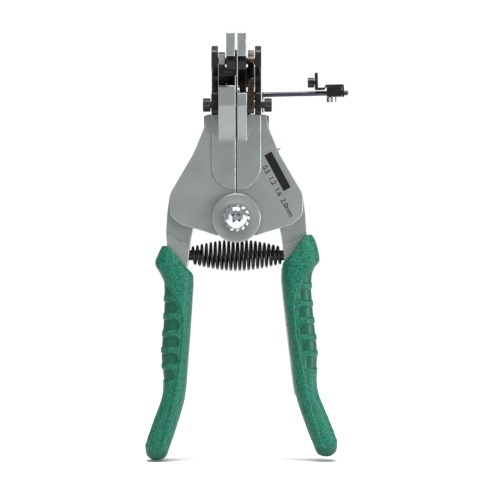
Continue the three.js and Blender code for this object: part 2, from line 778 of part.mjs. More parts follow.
/** Centre line of the barrel spring: the coil's radius grows towards the middle. */
class BarrelCoil extends THREE.Curve {
  getPoint(t, target = new THREE.Vector3()) {
    const swell = Math.sin(Math.PI * t);
    const radius = springEndRadius + (springMidRadius - springEndRadius) * swell;
    const angle = 2 * Math.PI * springTurns * t;
    const middle = (tangBack + tangFront) / 2;
    return target.set(springHalf * (2 * t - 1), middle + radius * Math.cos(angle),
      springHeight + radius * Math.sin(angle));
  }
}

function barrelSpring() {
  const sides = 5;
  const section = new THREE.Shape();
  for (let side = 0; side < sides; side += 1) {
    const angle = 2 * Math.PI * side / sides;
    const point = [springWire * Math.cos(angle), springWire * Math.sin(angle)];
    if (side) section.lineTo(...point); else section.moveTo(...point);
  }
  return new THREE.ExtrudeGeometry(section, {
    steps: springTurns * springSteps, extrudePath: new BarrelCoil(), bevelEnabled: false,
  });
}

// ---------------------------------------------------------------- wire-length stop

const loopStart = cheekOut + clearance;
const rightShoulder = loopStart + loopDepth + clearance;

/** Tilts a piece of the stop with the rod, which rises slightly outwards. */
function tilted(geometry) {
  const copy = geometry.clone();
  copy.translate(-loopStart, 0, -rodHeight);
  copy.rotateY(-rodTilt);
  copy.translate(loopStart, 0, rodHeight);
  return copy;
}

/** Rod of the stop with the flat loop that the right cheek screw clamps. */
function stopRod() {
  const loop = join(
    roundX(3.2, loopStart, loopStart + loopDepth, rodY, cheekScrewZ, 24),
    block(loopStart, loopStart + loopDepth, rodY - 1.5, rodY + 1.5, cheekScrewZ, rodHeight + 1));
  const rod = tilted(roundX(rodRadius, loopStart, rodEnd, rodY, rodHeight, 16));
  return cut(join(loop, rod), roundX(capScrewHole, 0, 40, rodY, cheekScrewZ, 20));
}

const rodBore = () =>
  roundX(rodRadius + clearance, stopPlateX - 5, rodEnd + 5, rodY, rodHeight, 16);

/** Clamp block that slides on the rod. */
function stopBlock() {
  const half = stopDepth / 2;
  const body = block(stopLeft, stopRight, rodY - half, rodY + half,
    rodHeight - stopDown, rodHeight + stopUp);
  const threadBore = roundZ(lockScrewRadius + clearance, 0, rodHeight, lockScrewX, rodY, 16);
  return tilted(cut(body, rodBore(), threadBore));
}

/** Bent strip: the plate that the wire's end meets, a step, the cover over the block, an end flap. */
function stopPlate() {
  const half = stopDepth / 2 + 0.4;
  const z = rodHeight;
  const cover = z + stopUp + clearance;
  const strip = plate([
    [stopPlateX, z + stopPlateTop, 0.5], [stopPlateX + stopPlateDepth, z + stopPlateTop, 0.5],
    [stopPlateX + stopPlateDepth, z + 2.3], [stopLeft - 1.1, z + 2.3], [stopLeft - 0.4, cover + 0.8],
    [stopRight + 0.9, cover + 0.8, 0.8], [stopRight + 1.1, z - 1.6],
    [stopRight + clearance, z - 1.6], [stopRight + clearance, cover], [stopLeft - 0.2, cover],
    [stopLeft - 0.9, z + 1.5], [stopPlateX, z + 1.5],
  ], rodY + half, rodY - half, 3);
  const pegZ = z + 4.6;
  return tilted(cut(strip, rodBore(), roundX(1.2, 30, 36, rodY, pegZ, 16)));
}

function stopPad() {
  const z = rodHeight + 4.6;
  const right = stopPlateX - clearance;
  return tilted(join(
    roundX(stopPadRadius, right - stopPadLength, right, rodY, z, 24),
    roundX(0.9, right - 0.2, stopPlateX + stopPlateDepth, rodY, z, 12)));
}

/** Thumb screw under the block that clamps it on the rod. */
function stopLockScrew() {
  const tip = rodHeight - rodRadius - clearance;
  const headTop = rodHeight - stopDown - clearance;
  const head = roundZ(2.1, headTop - 2.0, headTop, lockScrewX, rodY, 12);
  const shank = roundZ(lockScrewRadius, headTop - 0.2, tip, lockScrewX, rodY, 16);
  const slot = block(lockScrewX - 3, lockScrewX + 3, rodY - 0.3, rodY + 0.3,
    headTop - 3, headTop - 1.3);
  return tilted(cut(join(head, shank), slot));
}

// ---------------------------------------------------------------- assembly

const finishes = {
  casting: { color: 0x8f9795, roughness: 0.45, metalness: 0.2 },
  blackSteel: { color: 0x1e1e22, roughness: 0.4, metalness: 0.6 },
  chrome: { color: 0xc8ccd0, roughness: 0.15, metalness: 1.0 },
  toolSteel: { color: 0x6a5e50, roughness: 0.35, metalness: 0.9 },
  springSteel: { color: 0x2a2a2c, roughness: 0.35, metalness: 0.9 },
  grip: { color: 0x1f7a5c, roughness: 0.55, metalness: 0.0 },
};

const stripper = new THREE.Group();

function add(name, geometry, finish) {
  const mesh = new THREE.Mesh(geometry, new THREE.MeshStandardMaterial(finishes[finish]));
  mesh.geometry.computeVertexNormals();
  mesh.name = name;
  stripper.add(mesh);
}

/** Adds a piece that exists on both sides, built for the right and mirrored for the left. */
function addSide(side, name, geometry, finish) {
  add(`${side}_${name}`, side === 'right' ? geometry : mirrored(geometry), finish);
}

function addPivot() {
  add('pivot_bolt', pivotBolt(), 'chrome');
  add('toothed_washer', toothedWasher(), 'chrome');
  add('pivot_cap', pivotCap(), 'casting');
  add('pivot_sleeve', pivotSleeve(), 'toolSteel');
  add('pivot_nut', pivotNut(), 'blackSteel');
}

function addFrameSide(side) {
  const isRight = side === 'right';
  const shoulder = isRight ? rightShoulder : loopStart;
  addSide(side, 'frame', frameHalf(isRight), 'casting');
  addSide(side, 'back_plate', backPlate(isRight), 'blackSteel');
  addSide(side, 'back_screw_lower', backScrew(backScrews[0]), 'blackSteel');
  addSide(side, 'back_screw_upper', backScrew(backScrews[1]), 'blackSteel');
  addSide(side, 'lower_cheek', lowerCheek(), 'blackSteel');
  addSide(side, 'cheek_screw', capScrew(shoulder, 2.2, cheekScrewY, cheekScrewZ), 'blackSteel');
  addSide(side, 'jaw_pin', jawPin(), 'toolSteel');
  addSide(side, 'pin_clip', pinClip(), 'springSteel');
  addSide(side, 'jaw_spring', jawSpring(), 'springSteel');
  addSide(side, 'spring_rivet', rivet(), 'toolSteel');
}

function addUpperJaw(side) {
  addSide(side, 'upper_jaw', upperJaw(), 'casting');
  addSide(side, 'upper_cheek', upperCheek(), 'blackSteel');
  addSide(side, 'jaw_screw', jawScrew(), 'blackSteel');
}

function addHandle(side) {
  addSide(side, 'handle', handle(side === 'right', grips[side]), 'casting');
  addSide(side, 'grip', gripBody(grips[side]), 'grip');
  addSide(side, 'spring_peg', springPeg(), 'blackSteel');
}

addPivot();
for (const side of ['left', 'right']) {
  addFrameSide(side);
  addUpperJaw(side);
  addHandle(side);
}
add('upper_gripper', mirrored(upperGripper()), 'blackSteel');
add('upper_blade', upperBlade(), 'toolSteel');
add('lower_blade', lowerBlade(), 'toolSteel');
add('handle_spring', barrelSpring(), 'springSteel');
add('stop_rod', stopRod(), 'springSteel');
add('stop_block', stopBlock(), 'blackSteel');
add('stop_plate', stopPlate(), 'blackSteel');
add('stop_pad', stopPad(), 'blackSteel');
add('stop_lock_screw', stopLockScrew(), 'chrome');

export default stripper;
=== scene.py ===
"""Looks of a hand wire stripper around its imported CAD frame.

Each sub-assembly is a class with its sizes as fields, in millimetres unless a name says
otherwise. The scene is in metres, +Z runs up the tool to the jaws and the front faces -Y.
"""

import json
import logging
import math
from collections.abc import Iterator
from contextlib import contextmanager
from dataclasses import dataclass
from enum import Enum

import bmesh
import bpy
import numpy as np
from mathutils import Matrix, Vector


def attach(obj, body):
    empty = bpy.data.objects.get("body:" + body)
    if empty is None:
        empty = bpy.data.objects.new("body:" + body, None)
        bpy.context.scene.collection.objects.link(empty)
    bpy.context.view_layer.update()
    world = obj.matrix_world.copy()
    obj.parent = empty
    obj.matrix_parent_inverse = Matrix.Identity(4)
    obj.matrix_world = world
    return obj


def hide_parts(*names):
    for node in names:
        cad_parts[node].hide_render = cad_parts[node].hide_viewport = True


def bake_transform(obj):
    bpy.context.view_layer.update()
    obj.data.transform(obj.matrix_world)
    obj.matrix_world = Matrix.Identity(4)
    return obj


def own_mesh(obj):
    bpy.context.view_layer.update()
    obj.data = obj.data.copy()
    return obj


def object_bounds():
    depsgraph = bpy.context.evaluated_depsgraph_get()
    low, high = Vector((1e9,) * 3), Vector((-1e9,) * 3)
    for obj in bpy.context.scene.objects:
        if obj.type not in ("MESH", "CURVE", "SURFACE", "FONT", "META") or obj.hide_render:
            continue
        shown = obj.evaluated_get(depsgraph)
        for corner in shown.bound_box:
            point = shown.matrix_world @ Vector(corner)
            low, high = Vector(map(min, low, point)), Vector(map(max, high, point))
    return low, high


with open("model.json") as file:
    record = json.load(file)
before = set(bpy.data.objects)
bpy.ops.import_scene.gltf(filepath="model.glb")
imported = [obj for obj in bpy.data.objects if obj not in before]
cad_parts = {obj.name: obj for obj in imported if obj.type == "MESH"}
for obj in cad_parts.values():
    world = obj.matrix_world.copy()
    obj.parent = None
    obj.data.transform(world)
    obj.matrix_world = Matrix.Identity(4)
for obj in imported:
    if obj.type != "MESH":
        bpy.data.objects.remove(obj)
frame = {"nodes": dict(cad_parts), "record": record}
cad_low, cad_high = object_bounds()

MM = 0.001
MERGED_WITHIN = 0.002 * MM      # corners of a node's loose triangles
FLAT_WITHIN = 0.6               # degrees between faces that are one flat face
SMOOTH_UNDER = 32.0             # degrees between faces that shade as one surface
log = logging.getLogger("wire_stripper")
logging.basicConfig(level=logging.INFO, format="%(name)s: %(message)s")


# ---------------------------------------------------------------- nodes and colours


def linear(hex_colour: str) -> tuple[float, float, float, float]:
    """Turns an sRGB hex colour into linear RGBA.

    Args:
        hex_colour: six hex digits with a leading #.

    Returns:
        Red, green, blue and an alpha of 1, linear.
    """
    parts = [int(hex_colour[i : i + 2], 16) / 255 for i in (1, 3, 5)]
    rgb = [p / 12.92 if p <= 0.04045 else ((p + 0.055) / 1.055) ** 2.4 for p in parts]
    return (rgb[0], rgb[1], rgb[2], 1.0)


def node(
    tree: bpy.types.NodeTree, kind: str, settings: dict | None = None, **inputs: object
) -> bpy.types.Node:
    """Adds one node, sets its properties and feeds its inputs.

    Args:
        tree: the node tree that it goes in.
        kind: the node's type name.
        settings: properties to set on the node.
        inputs: an input's name, with _ for a space, or i and its number, to the socket that
            is linked to it or the value that it is set to.

    Returns:
        The new node.
    """
    made = tree.nodes.new(kind)
    for name, value in (settings or {}).items():
        setattr(made, name, value)
    for name, value in inputs.items():
        key = int(name[1:]) if name[0] == "i" and name[1:].isdigit() else name.replace("_", " ")
        if isinstance(value, bpy.types.NodeSocket):
            tree.links.new(value, made.inputs[key])
        else:
            made.inputs[key].default_value = value
    return made


MULTIPLY = {"operation": "MULTIPLY"}
SUBTRACT = {"operation": "SUBTRACT"}
SCALE_AND_ADD = {"operation": "MULTIPLY_ADD"}
CLAMPED_MULTIPLY = {"operation": "MULTIPLY", "use_clamp": True}


# ---------------------------------------------------------------- finishes


@dataclass(frozen=True)
class Finish:
    """A real surface: what it is made of and how it was finished.

    The mottle is a soft change of tone and gloss, the grain a bump, both sized in millimetres.
    """

    name: str
    dark: str
    light: str
    metallic: float
    roughness: float
    roughness_swing: float = 0.06
    mottle_mm: float = 6.0
    grain_mm: float = 0.3
    grain_height_mm: float = 0.01
    stretch: tuple[float, float, float] = (1.0, 1.0, 1.0)
    coat: float = 0.0
    specular: float = 0.5

    def pattern(
        self, tree: bpy.types.NodeTree, size_mm: float, detail: float
    ) -> bpy.types.NodeSocket:
        """Adds noise with features of about one size on the piece's own coordinates.

        Args:
            tree: the material's tree.
            size_mm: size of one feature.
            detail: how many finer layers it has.

        Returns:
            The noise from 0 to 1.
        """
        place = node(tree, "ShaderNodeTexCoord").outputs["Object"]
        drawn = node(tree, "ShaderNodeMapping", Vector=place, Scale=self.stretch).outputs[0]
        noise = node(
            tree, "ShaderNodeTexNoise", Vector=drawn, Scale=1 / (size_mm * MM), Detail=detail
        )
        return noise.outputs["Fac"]

    def colour(self, tree: bpy.types.NodeTree) -> bpy.types.NodeSocket:
        """Adds the surface colour: two close tones in a soft mottle.

        Args:
            tree: the material's tree.

        Returns:
            The colour.
        """
        share = node(
            tree, "ShaderNodeMapRange", Value=self.pattern(tree, self.mottle_mm, 3.0),
            From_Min=0.35, From_Max=0.65,
        ).outputs[0]
        mixed = node(
            tree, "ShaderNodeMix", {"data_type": "RGBA"}, i0=share, i6=linear(self.dark),
            i7=linear(self.light),
        )
        return mixed.outputs[2]

    def height(self, tree: bpy.types.NodeTree) -> bpy.types.NodeSocket:
        """Adds the height of the surface's grain, from 0 to 1."""
        return self.pattern(tree, self.grain_mm, 2.0)

    def build(self) -> bpy.types.Material:
        """Makes the material once; later calls give the same one.

        Returns:
            The material.
        """
        found = bpy.data.materials.get(self.name)
        if found:
            return found
        made = bpy.data.materials.new(self.name)
        made.use_nodes = True
        tree = made.node_tree
        shader = tree.nodes["Principled BSDF"]
        constant = {
            "Metallic": self.metallic, "Coat Weight": self.coat, "Coat Roughness": 0.15,
            "Specular IOR Level": self.specular,
        }
        for name, value in constant.items():
            shader.inputs[name].default_value = value
        tree.links.new(self.colour(tree), shader.inputs["Base Color"])
        gloss = node(
            tree, "ShaderNodeMapRange", Value=self.pattern(tree, self.mottle_mm / 2, 4.0),
            To_Min=self.roughness - self.roughness_swing,
            To_Max=self.roughness + self.roughness_swing,
        )
        tree.links.new(gloss.outputs[0], shader.inputs["Roughness"])
        bump = node(
            tree, "ShaderNodeBump", Height=self.height(tree),
            Distance=self.grain_height_mm * MM,
        )
        tree.links.new(bump.outputs[0], shader.inputs["Normal"])
        return made


@dataclass(frozen=True)
class RubbedFinish(Finish):
    """A coated or black oxided surface whose rounded edges take a second tone: partly worn metal,
    partly a painted highlight.
    """

    rubbed: str = "#8c8c8a"
    wear: float = 0.5
    patch_mm: float = 1.1

    def colour(self, tree: bpy.types.NodeTree) -> bpy.types.NodeSocket:
        """Adds the coat's colour, turned to the second tone at the edges that the piece's edge
        attribute marks: partly worn metal, partly a painted highlight.

        Args:
            tree: the material's tree.

        Returns:
            The colour.
        """
        # the second tone on the bevelled edges is partly worn metal and partly a painted highlight
        edge = node(tree, "ShaderNodeAttribute", {"attribute_name": "rub"}).outputs["Fac"]
        patches = node(
            tree, "ShaderNodeMapRange", Value=self.pattern(tree, self.patch_mm, 4.0), From_Min=0.36,
            From_Max=0.6, To_Max=self.wear,
        ).outputs[0]
        share = node(tree, "ShaderNodeMath", CLAMPED_MULTIPLY, i0=edge, i1=patches).outputs[0]
        mixed = node(
            tree, "ShaderNodeMix", {"data_type": "RGBA"}, i0=share, i6=super().colour(tree),
            i7=linear(self.rubbed),
        )
        return mixed.outputs[2]


@dataclass(frozen=True)
class PebbledVinyl(Finish):
    """Moulded vinyl with a leather grain: small rounded pebbles with creases between them."""

    drift_mm: float = 1.3
    drift_by_mm: float = 0.7

    def pebbles(self, tree: bpy.types.NodeTree) -> bpy.types.NodeSocket:
        """Adds the pebbles, none where the piece's smooth attribute says that it is plain.

        Args:
            tree: the material's tree.

        Returns:
            Height from 0 in a crease to 1 on top of a pebble.
        """
        place = node(tree, "ShaderNodeTexCoord").outputs["Object"]
        drift = node(
            tree, "ShaderNodeTexNoise", Vector=place, Scale=1 / (self.drift_mm * MM), Detail=1.0
        )
        moved = node(
            tree, "ShaderNodeVectorMath", SCALE_AND_ADD,
            i0=drift.outputs["Color"], i1=(self.drift_by_mm * MM,) * 3, i2=place,
        ).outputs[0]
        cells = node(
            tree, "ShaderNodeTexVoronoi", {"feature": "SMOOTH_F1"}, Vector=moved,
            Scale=1 / (self.grain_mm * MM), Smoothness=0.3,
        ).outputs["Distance"]
        top = node(
            tree, "ShaderNodeMapRange", Value=cells, From_Min=0.15, From_Max=0.7, To_Min=1.0,
            To_Max=0.0,
        ).outputs[0]
        smooth = node(tree, "ShaderNodeAttribute", {"attribute_name": "smooth"}).outputs["Fac"]
        rough = node(tree, "ShaderNodeMath", SUBTRACT, i0=1.0, i1=smooth).outputs[0]
        return node(tree, "ShaderNodeMath", MULTIPLY, i0=top, i1=rough).outputs[0]

    def colour(self, tree: bpy.types.NodeTree) -> bpy.types.NodeSocket:
        """Adds the vinyl's green, paler on the pebbles and darker in the creases between them, as
        painted shade.

        Args:
            tree: the material's tree.

        Returns:
            The colour.
        """
        # painted shade: darker in the creases between the pebbles, paler on their tops
        mixed = node(
            tree, "ShaderNodeMix", {"data_type": "RGBA"}, i0=self.pebbles(tree),
            i6=linear(self.dark), i7=linear(self.light),
        )
        return mixed.outputs[2]

    def height(self, tree: bpy.types.NodeTree) -> bpy.types.NodeSocket:
        """Adds the pebbles' height."""
        return self.pebbles(tree)


# Silver-grey stoving enamel with metal flake on a die casting: satin, with a faint orange peel. Its
# rounded edges are paler: partly worn, partly a painted highlight.
GREY_ENAMEL = RubbedFinish(
    "grey_enamel_die_casting", "#7b8181", "#828887", metallic=0.5, roughness=0.36,
    roughness_swing=0.03, mottle_mm=9.0, grain_mm=0.9, grain_height_mm=0.005, rubbed="#b4bbb9",
    wear=0.4, coat=0.12,
)
# Black oxide on milled steel, oiled: almost black, dull grey on its rounded edges, partly worn and
# partly a painted highlight.
BLACK_OXIDE = RubbedFinish(
    "black_oxide_steel", "#08080a", "#111113", metallic=0.0, roughness=0.36,
    roughness_swing=0.08, mottle_mm=3.0, grain_mm=0.25, grain_height_mm=0.004,
    rubbed="#6a6864", wear=0.25, specular=0.3,
)
# Nickel-chrome plate: mirror bright, with very light handling marks.
CHROME_PLATE = Finish(
    "chrome_plated_steel", "#c4c8cc", "#d4d7da", metallic=1.0, roughness=0.12,
    roughness_swing=0.04, mottle_mm=4.0, grain_mm=0.2, grain_height_mm=0.001,
)
# Hardened tool steel, ground in fine streaks and left with its bronze temper colour; its edges are
# pale gold, mostly a painted highlight and partly worn.
TEMPERED_STEEL = RubbedFinish(
    "tempered_tool_steel", "#1d1815", "#43382c", metallic=0.75, roughness=0.34,
    roughness_swing=0.1, mottle_mm=0.8, grain_mm=0.12, grain_height_mm=0.006,
    stretch=(0.3, 0.3, 2.6), rubbed="#cdbd94", wear=0.8,
)
# Oil-tempered spring wire: near black with a blue cast.
SPRING_WIRE = Finish(
    "oil_tempered_spring_wire", "#111215", "#24262b", metallic=0.6, roughness=0.27,
    roughness_swing=0.07, mottle_mm=1.5, grain_mm=0.2, grain_height_mm=0.002,
)
# Green vinyl with a leather grain, matt, its pebbles drawn a little coarser than real ones, with
# painted shade in the creases.
GREEN_VINYL = PebbledVinyl(
    "green_pebbled_vinyl", "#004a39", "#0d6e57", metallic=0.0, roughness=0.45,
    roughness_swing=0.04, mottle_mm=7.0, grain_mm=0.75, grain_height_mm=0.16,
    specular=0.25,
)
# Pad-printing ink: flat black.
BLACK_INK = Finish(
    "black_pad_printing_ink", "#070708", "#0d0d0f", metallic=0.0, roughness=0.6,
    roughness_swing=0.04, mottle_mm=2.0, specular=0.2,
)
# Drawn steel rod, oiled: dark with a blue cast and long streaks.
DRAWN_STEEL = Finish(
    "drawn_steel_rod", "#2c2c36", "#45454f", metallic=0.9, roughness=0.3, roughness_swing=0.06,
    mottle_mm=0.8, grain_mm=0.15, grain_height_mm=0.002, stretch=(0.1, 1.0, 1.0),
)
# Bright bare edge of the casting, where it was filed after moulding.
BARE_ALLOY = Finish(
    "filed_zinc_alloy", "#a6abae", "#c3c7c9", metallic=0.8, roughness=0.4,
    roughness_swing=0.08, mottle_mm=1.0, grain_mm=0.15, grain_height_mm=0.004,
)
# Matt white paper under the tool.
FLOOR_PAPER = Finish(
    "white_studio_paper", "#f6f6f5", "#fafaf9", metallic=0.0, roughness=0.9,
    roughness_swing=0.02, mottle_mm=40.0,
)

FINISH_OF_SLOT = {
    "casting": GREY_ENAMEL,
    "black_steel": BLACK_OXIDE,
    "chrome": CHROME_PLATE,
    "tool_steel": TEMPERED_STEEL,
    "spring_steel": SPRING_WIRE,
    "grip": GREEN_VINYL,
}
SLOT_OF_NODE = {row["node"]: row["material_slot"] for row in frame["record"]["subparts"]}
BODY_OF_NODE = {
    name: body for body, names in frame["record"]["behaviour"]["bodies"].items() for name in names
}


class Side(Enum):
    """Left or right as seen from the front; the value is the sign of X there."""

    LEFT = -1
    RIGHT = 1

    @property
    def word(self) -> str:
        """The side's name as node and body names begin with it."""
        return self.name.lower()


# ---------------------------------------------------------------- mesh work


def new_piece(name: str, data: bpy.types.ID) -> bpy.types.Object:
    """Puts a mesh, curve, light or camera in the scene as an object at the origin.

    Args:
        name: the object's name.
        data: what the object holds.

    Returns:
        The new object.
    """
    made = bpy.data.objects.new(name, data)
    bpy.context.scene.collection.objects.link(made)
    return made


@contextmanager
def edited(mesh: bpy.types.Mesh) -> Iterator[bmesh.types.BMesh]:
    """Opens a mesh for editing and writes it back at the end.

    Args:
        mesh: the mesh that is changed.

    Returns:
        Its corners, edges and faces.
    """
    shape = bmesh.new()
    shape.from_mesh(mesh)
    yield shape
    shape.to_mesh(mesh)
    shape.free()


def evaluated_mesh(piece: bpy.types.Object) -> bpy.types.Mesh:
    """Copies a piece's shape as its modifiers or its lettering make it.

    Args:
        piece: the piece, which stays as it is.

    Returns:
        The new mesh.
    """
    bpy.context.view_layer.update()
    graph = bpy.context.evaluated_depsgraph_get()
    return bpy.data.meshes.new_from_object(piece.evaluated_get(graph), depsgraph=graph)


def piece_from(
    name: str, points: np.ndarray, faces: list[tuple[int, ...]], edge_angle: float = SMOOTH_UNDER
) -> bpy.types.Object:
    """Makes a shaded piece from points in millimetres.

    Args:
        name: the piece's name.
        points: one row of three coordinates for each point.
        faces: point numbers of each face, turned so that the face points outwards.
        edge_angle: degrees above which an edge between two faces stays sharp.

    Returns:
        The new piece.
    """
    mesh = bpy.data.meshes.new(name)
    mesh.from_pydata((points * MM).tolist(), [], faces)
    mesh.update()
    shade(mesh, edge_angle)
    return new_piece(name, mesh)


def baked(piece: bpy.types.Object) -> bpy.types.Object:
    """Makes a piece's evaluated shape its plain mesh and removes its modifiers.

    Args:
        piece: the piece that is changed.

    Returns:
        The same piece.
    """
    mesh = evaluated_mesh(piece)
    piece.modifiers.clear()
    piece.data = mesh
    return piece


def shade(mesh: bpy.types.Mesh, degrees: float = SMOOTH_UNDER) -> None:
    """Shades a mesh smooth, with hard edges where faces meet at more than an angle.

    Args:
        mesh: the mesh that is changed.
        degrees: the angle.
    """
    with edited(mesh) as shape:
        for face in shape.faces:
            face.smooth = True
        for edge in shape.edges:
            if len(edge.link_faces) == 2:
                edge.smooth = edge.calc_face_angle(0) < math.radians(degrees)


def face_out(mesh: bpy.types.Mesh) -> None:
    """Turns the faces of a closed mesh outwards.

    Args:
        mesh: the mesh that is changed.
    """
    with edited(mesh) as shape:
        bmesh.ops.recalc_face_normals(shape, faces=shape.faces)


def dress(piece: bpy.types.Object, finish: Finish) -> bpy.types.Object:
    """Gives a piece one finish.

    Args:
        piece: the piece that is changed.
        finish: what it is made of.

    Returns:
        The same piece.
    """
    piece.data.materials.clear()
    piece.data.materials.append(finish.build())
    return piece


def settle(
    piece: bpy.types.Object, body: str, replaced: tuple[str, ...] = ()
) -> None:
    """Hangs a finished piece on its body and names what it stands for.

    Args:
        piece: the finished object.
        body: the CAD body that it moves with.
        replaced: CAD nodes that it is shown in place of.
    """
    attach(piece, body)
    if replaced:
        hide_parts(*replaced)
    log.info("%s rides on %s, %d faces", piece.name, body, len(piece.data.polygons))


def carved(piece: bpy.types.Object, tool: bpy.types.Object, operation: str) -> bpy.types.Object:
    """Cuts a tool's shape out of a piece, or keeps only what is in it, and removes the tool.

    Args:
        piece: the piece that is changed.
        tool: the other shape.
        operation: the boolean's name, DIFFERENCE or INTERSECT.

    Returns:
        The piece.
    """
    change = piece.modifiers.new("carve", "BOOLEAN")
    change.operation = operation
    change.object = tool
    change.solver = "EXACT"
    baked(piece)
    bpy.data.objects.remove(tool)
    return piece


def turned(
    name: str, profile: list[tuple[float, float]], sides: int, edge_angle: float = SMOOTH_UNDER
) -> bpy.types.Object:
    """Turns a closed profile about the Y axis.

    Args:
        name: the piece's name.
        profile: (y, radius) corners in millimetres; a corner on the axis has radius 0.
        sides: number of flats round.
        edge_angle: degrees above which an edge stays sharp.

    Returns:
        The new piece, its faces pointing outwards.
    """
    angles = np.arange(sides) * 2 * math.pi / sides
    points, rings = [], []
    for y, radius in profile:
        count = sides if radius > 0 else 1
        rings.append(range(len(points), len(points) + count))
        points += [(radius * math.cos(a), y, radius * math.sin(a)) for a in angles[:count]]
    faces = []
    for first, second in zip(rings, rings[1:] + rings[:1]):
        for side in range(sides):
            corners = [
                first[side % len(first)], first[(side + 1) % sides % len(first)],
                second[(side + 1) % sides % len(second)], second[side % len(second)],
            ]
            kept = list(dict.fromkeys(corners))
            if len(kept) > 2:
                faces.append(tuple(kept))
    piece = piece_from(name, np.array(points), faces, edge_angle)
    face_out(piece.data)
    return piece


def prism(
    name: str, first: list[tuple[float, ...]], second: list[tuple[float, ...]]
) -> bpy.types.Object:
    """Joins two matching outlines in millimetres by flat sides.

    Args:
        name: the piece's name.
        first: the corners of one end, in order.
        second: the corners of the other end, in the same order.

    Returns:
        The closed piece, its faces pointing outwards.
    """
    count = len(first)
    faces = [tuple(range(count)), tuple(range(count, 2 * count))[::-1]] + [
        (i + count, (i + 1) % count + count, (i + 1) % count, i) for i in range(count)
    ]
    piece = piece_from(name, np.array([*first, *second]), faces)
    face_out(piece.data)
    return piece


class RuleTree:
    """A Geometry Nodes tree with named sizes, run once and turned into a plain piece."""

    def __init__(self, name: str, sizes: dict[str, float]) -> None:
        """Opens the tree with one input for each size.

        Args:
            name: the name of the tree and of the piece it makes.
            sizes: input names and their values, in metres, radians or counts.
        """
        self.name = name
        self.sizes = sizes
        self.tree = bpy.data.node_groups.new(name, "GeometryNodeTree")
        face = self.tree.interface
        face.new_socket("Geometry", in_out="OUTPUT", socket_type="NodeSocketGeometry")
        for size in sizes:
            face.new_socket(size, in_out="INPUT", socket_type="NodeSocketFloat")
        self.given = node(self.tree, "NodeGroupInput").outputs

    def add(self, kind: str, settings: dict | None = None, **inputs: object) -> bpy.types.Node:
        """Adds one node to the tree; see node()."""
        return node(self.tree, kind, settings, **inputs)

    def run(self, geometry: bpy.types.NodeSocket, finish: Finish) -> bpy.types.Object:
        """Ends the tree, evaluates it and keeps its result as a plain mesh.

        Args:
            geometry: the socket with the finished shape.
            finish: what the shape is made of.

        Returns:
            The piece, without modifiers.
        """
        real = self.add("GeometryNodeRealizeInstances", Geometry=geometry).outputs[0]
        clad = self.add("GeometryNodeSetMaterial", Geometry=real, Material=finish.build())
        self.add("NodeGroupOutput", Geometry=clad.outputs[0])
        piece = new_piece(self.name, bpy.data.meshes.new(self.name))
        rule = piece.modifiers.new("rule", "NODES")
        rule.node_group = self.tree
        for socket in self.tree.interface.items_tree:
            if socket.in_out == "INPUT":
                rule[socket.identifier] = float(self.sizes[socket.name])
        baked(piece)
        shade(piece.data)
        return dress(piece, finish)


@dataclass
class MachinedPiece:
    """A CAD node shown with its real edges, cast, milled or filed round by a small radius."""

    cad_node: str
    edge_radius: float = 0.2
    segments: int = 2
    edge_angle: float = 38.0

    def copied(self) -> bpy.types.Object:
        """Copies the node's shape, its loose triangles merged.

        Returns:
            The copy.
        """
        shape = bmesh.new()
        shape.from_mesh(frame["nodes"][self.cad_node].data)
        bmesh.ops.remove_doubles(shape, verts=shape.verts, dist=MERGED_WITHIN)
        mesh = bpy.data.meshes.new(f"{self.cad_node}_finished")
        shape.to_mesh(mesh)
        shape.free()
        return new_piece(mesh.name, mesh)

    def build(self) -> bpy.types.Object:
        """Joins the copy's flat faces and rounds its outward edges.

        Returns:
            The piece; its edge attribute is 1 on the rounded edges, which take worn metal and a
            painted highlight.
        """
        piece = self.copied()
        mesh = piece.data
        with edited(mesh) as shape:
            bmesh.ops.dissolve_limit(
                shape, angle_limit=math.radians(FLAT_WITHIN), verts=shape.verts,
                edges=shape.edges,
            )
            weight = shape.edges.layers.float.new("bevel_weight_edge")
            for face in shape.faces:
                face.smooth = True
            for edge in shape.edges:
                turn = math.degrees(edge.calc_face_angle_signed(0))
                edge[weight] = float(turn > self.edge_angle)
                edge.smooth = turn > self.edge_angle or abs(turn) < SMOOTH_UNDER
        mesh.materials.clear()
        for _ in range(2):
            mesh.materials.append(self.clad().build())
        bevel = piece.modifiers.new("edge", "BEVEL")
        bevel.width = self.edge_radius * MM
        bevel.segments = self.segments
        bevel.limit_method = "WEIGHT"
        bevel.use_clamp_overlap = False
        bevel.miter_outer = "MITER_ARC"
        bevel.material = 1
        even = piece.modifiers.new("even", "WEIGHTED_NORMAL")
        even.keep_sharp = True
        baked(piece)
        return self.marked(piece)

    def clad(self) -> Finish:
        """The finish of the node's slot."""
        return FINISH_OF_SLOT[SLOT_OF_NODE[self.cad_node]]

    def marked(self, piece: bpy.types.Object) -> bpy.types.Object:
        """Turns the bevel's second material into the attribute of the edges that take worn metal
        and a painted highlight.

        Args:
            piece: the piece that is changed.

        Returns:
            The same piece.
        """
        mesh = piece.data
        index = np.zeros(len(mesh.polygons), dtype=np.int32)
        mesh.polygons.foreach_get("material_index", index)
        rub = mesh.attributes.new("rub", "FLOAT", "FACE")
        rub.data.foreach_set("value", index.astype(np.float32))
        mesh.polygons.foreach_set("material_index", np.zeros_like(index))
        mesh.materials.pop()
        return piece

    def finish(self) -> bpy.types.Object:
        """Builds the piece and settles it on its own body.

        Returns:
            The settled piece.
        """
        piece = self.build()
        settle(piece, BODY_OF_NODE[self.cad_node], (self.cad_node,))
        return piece


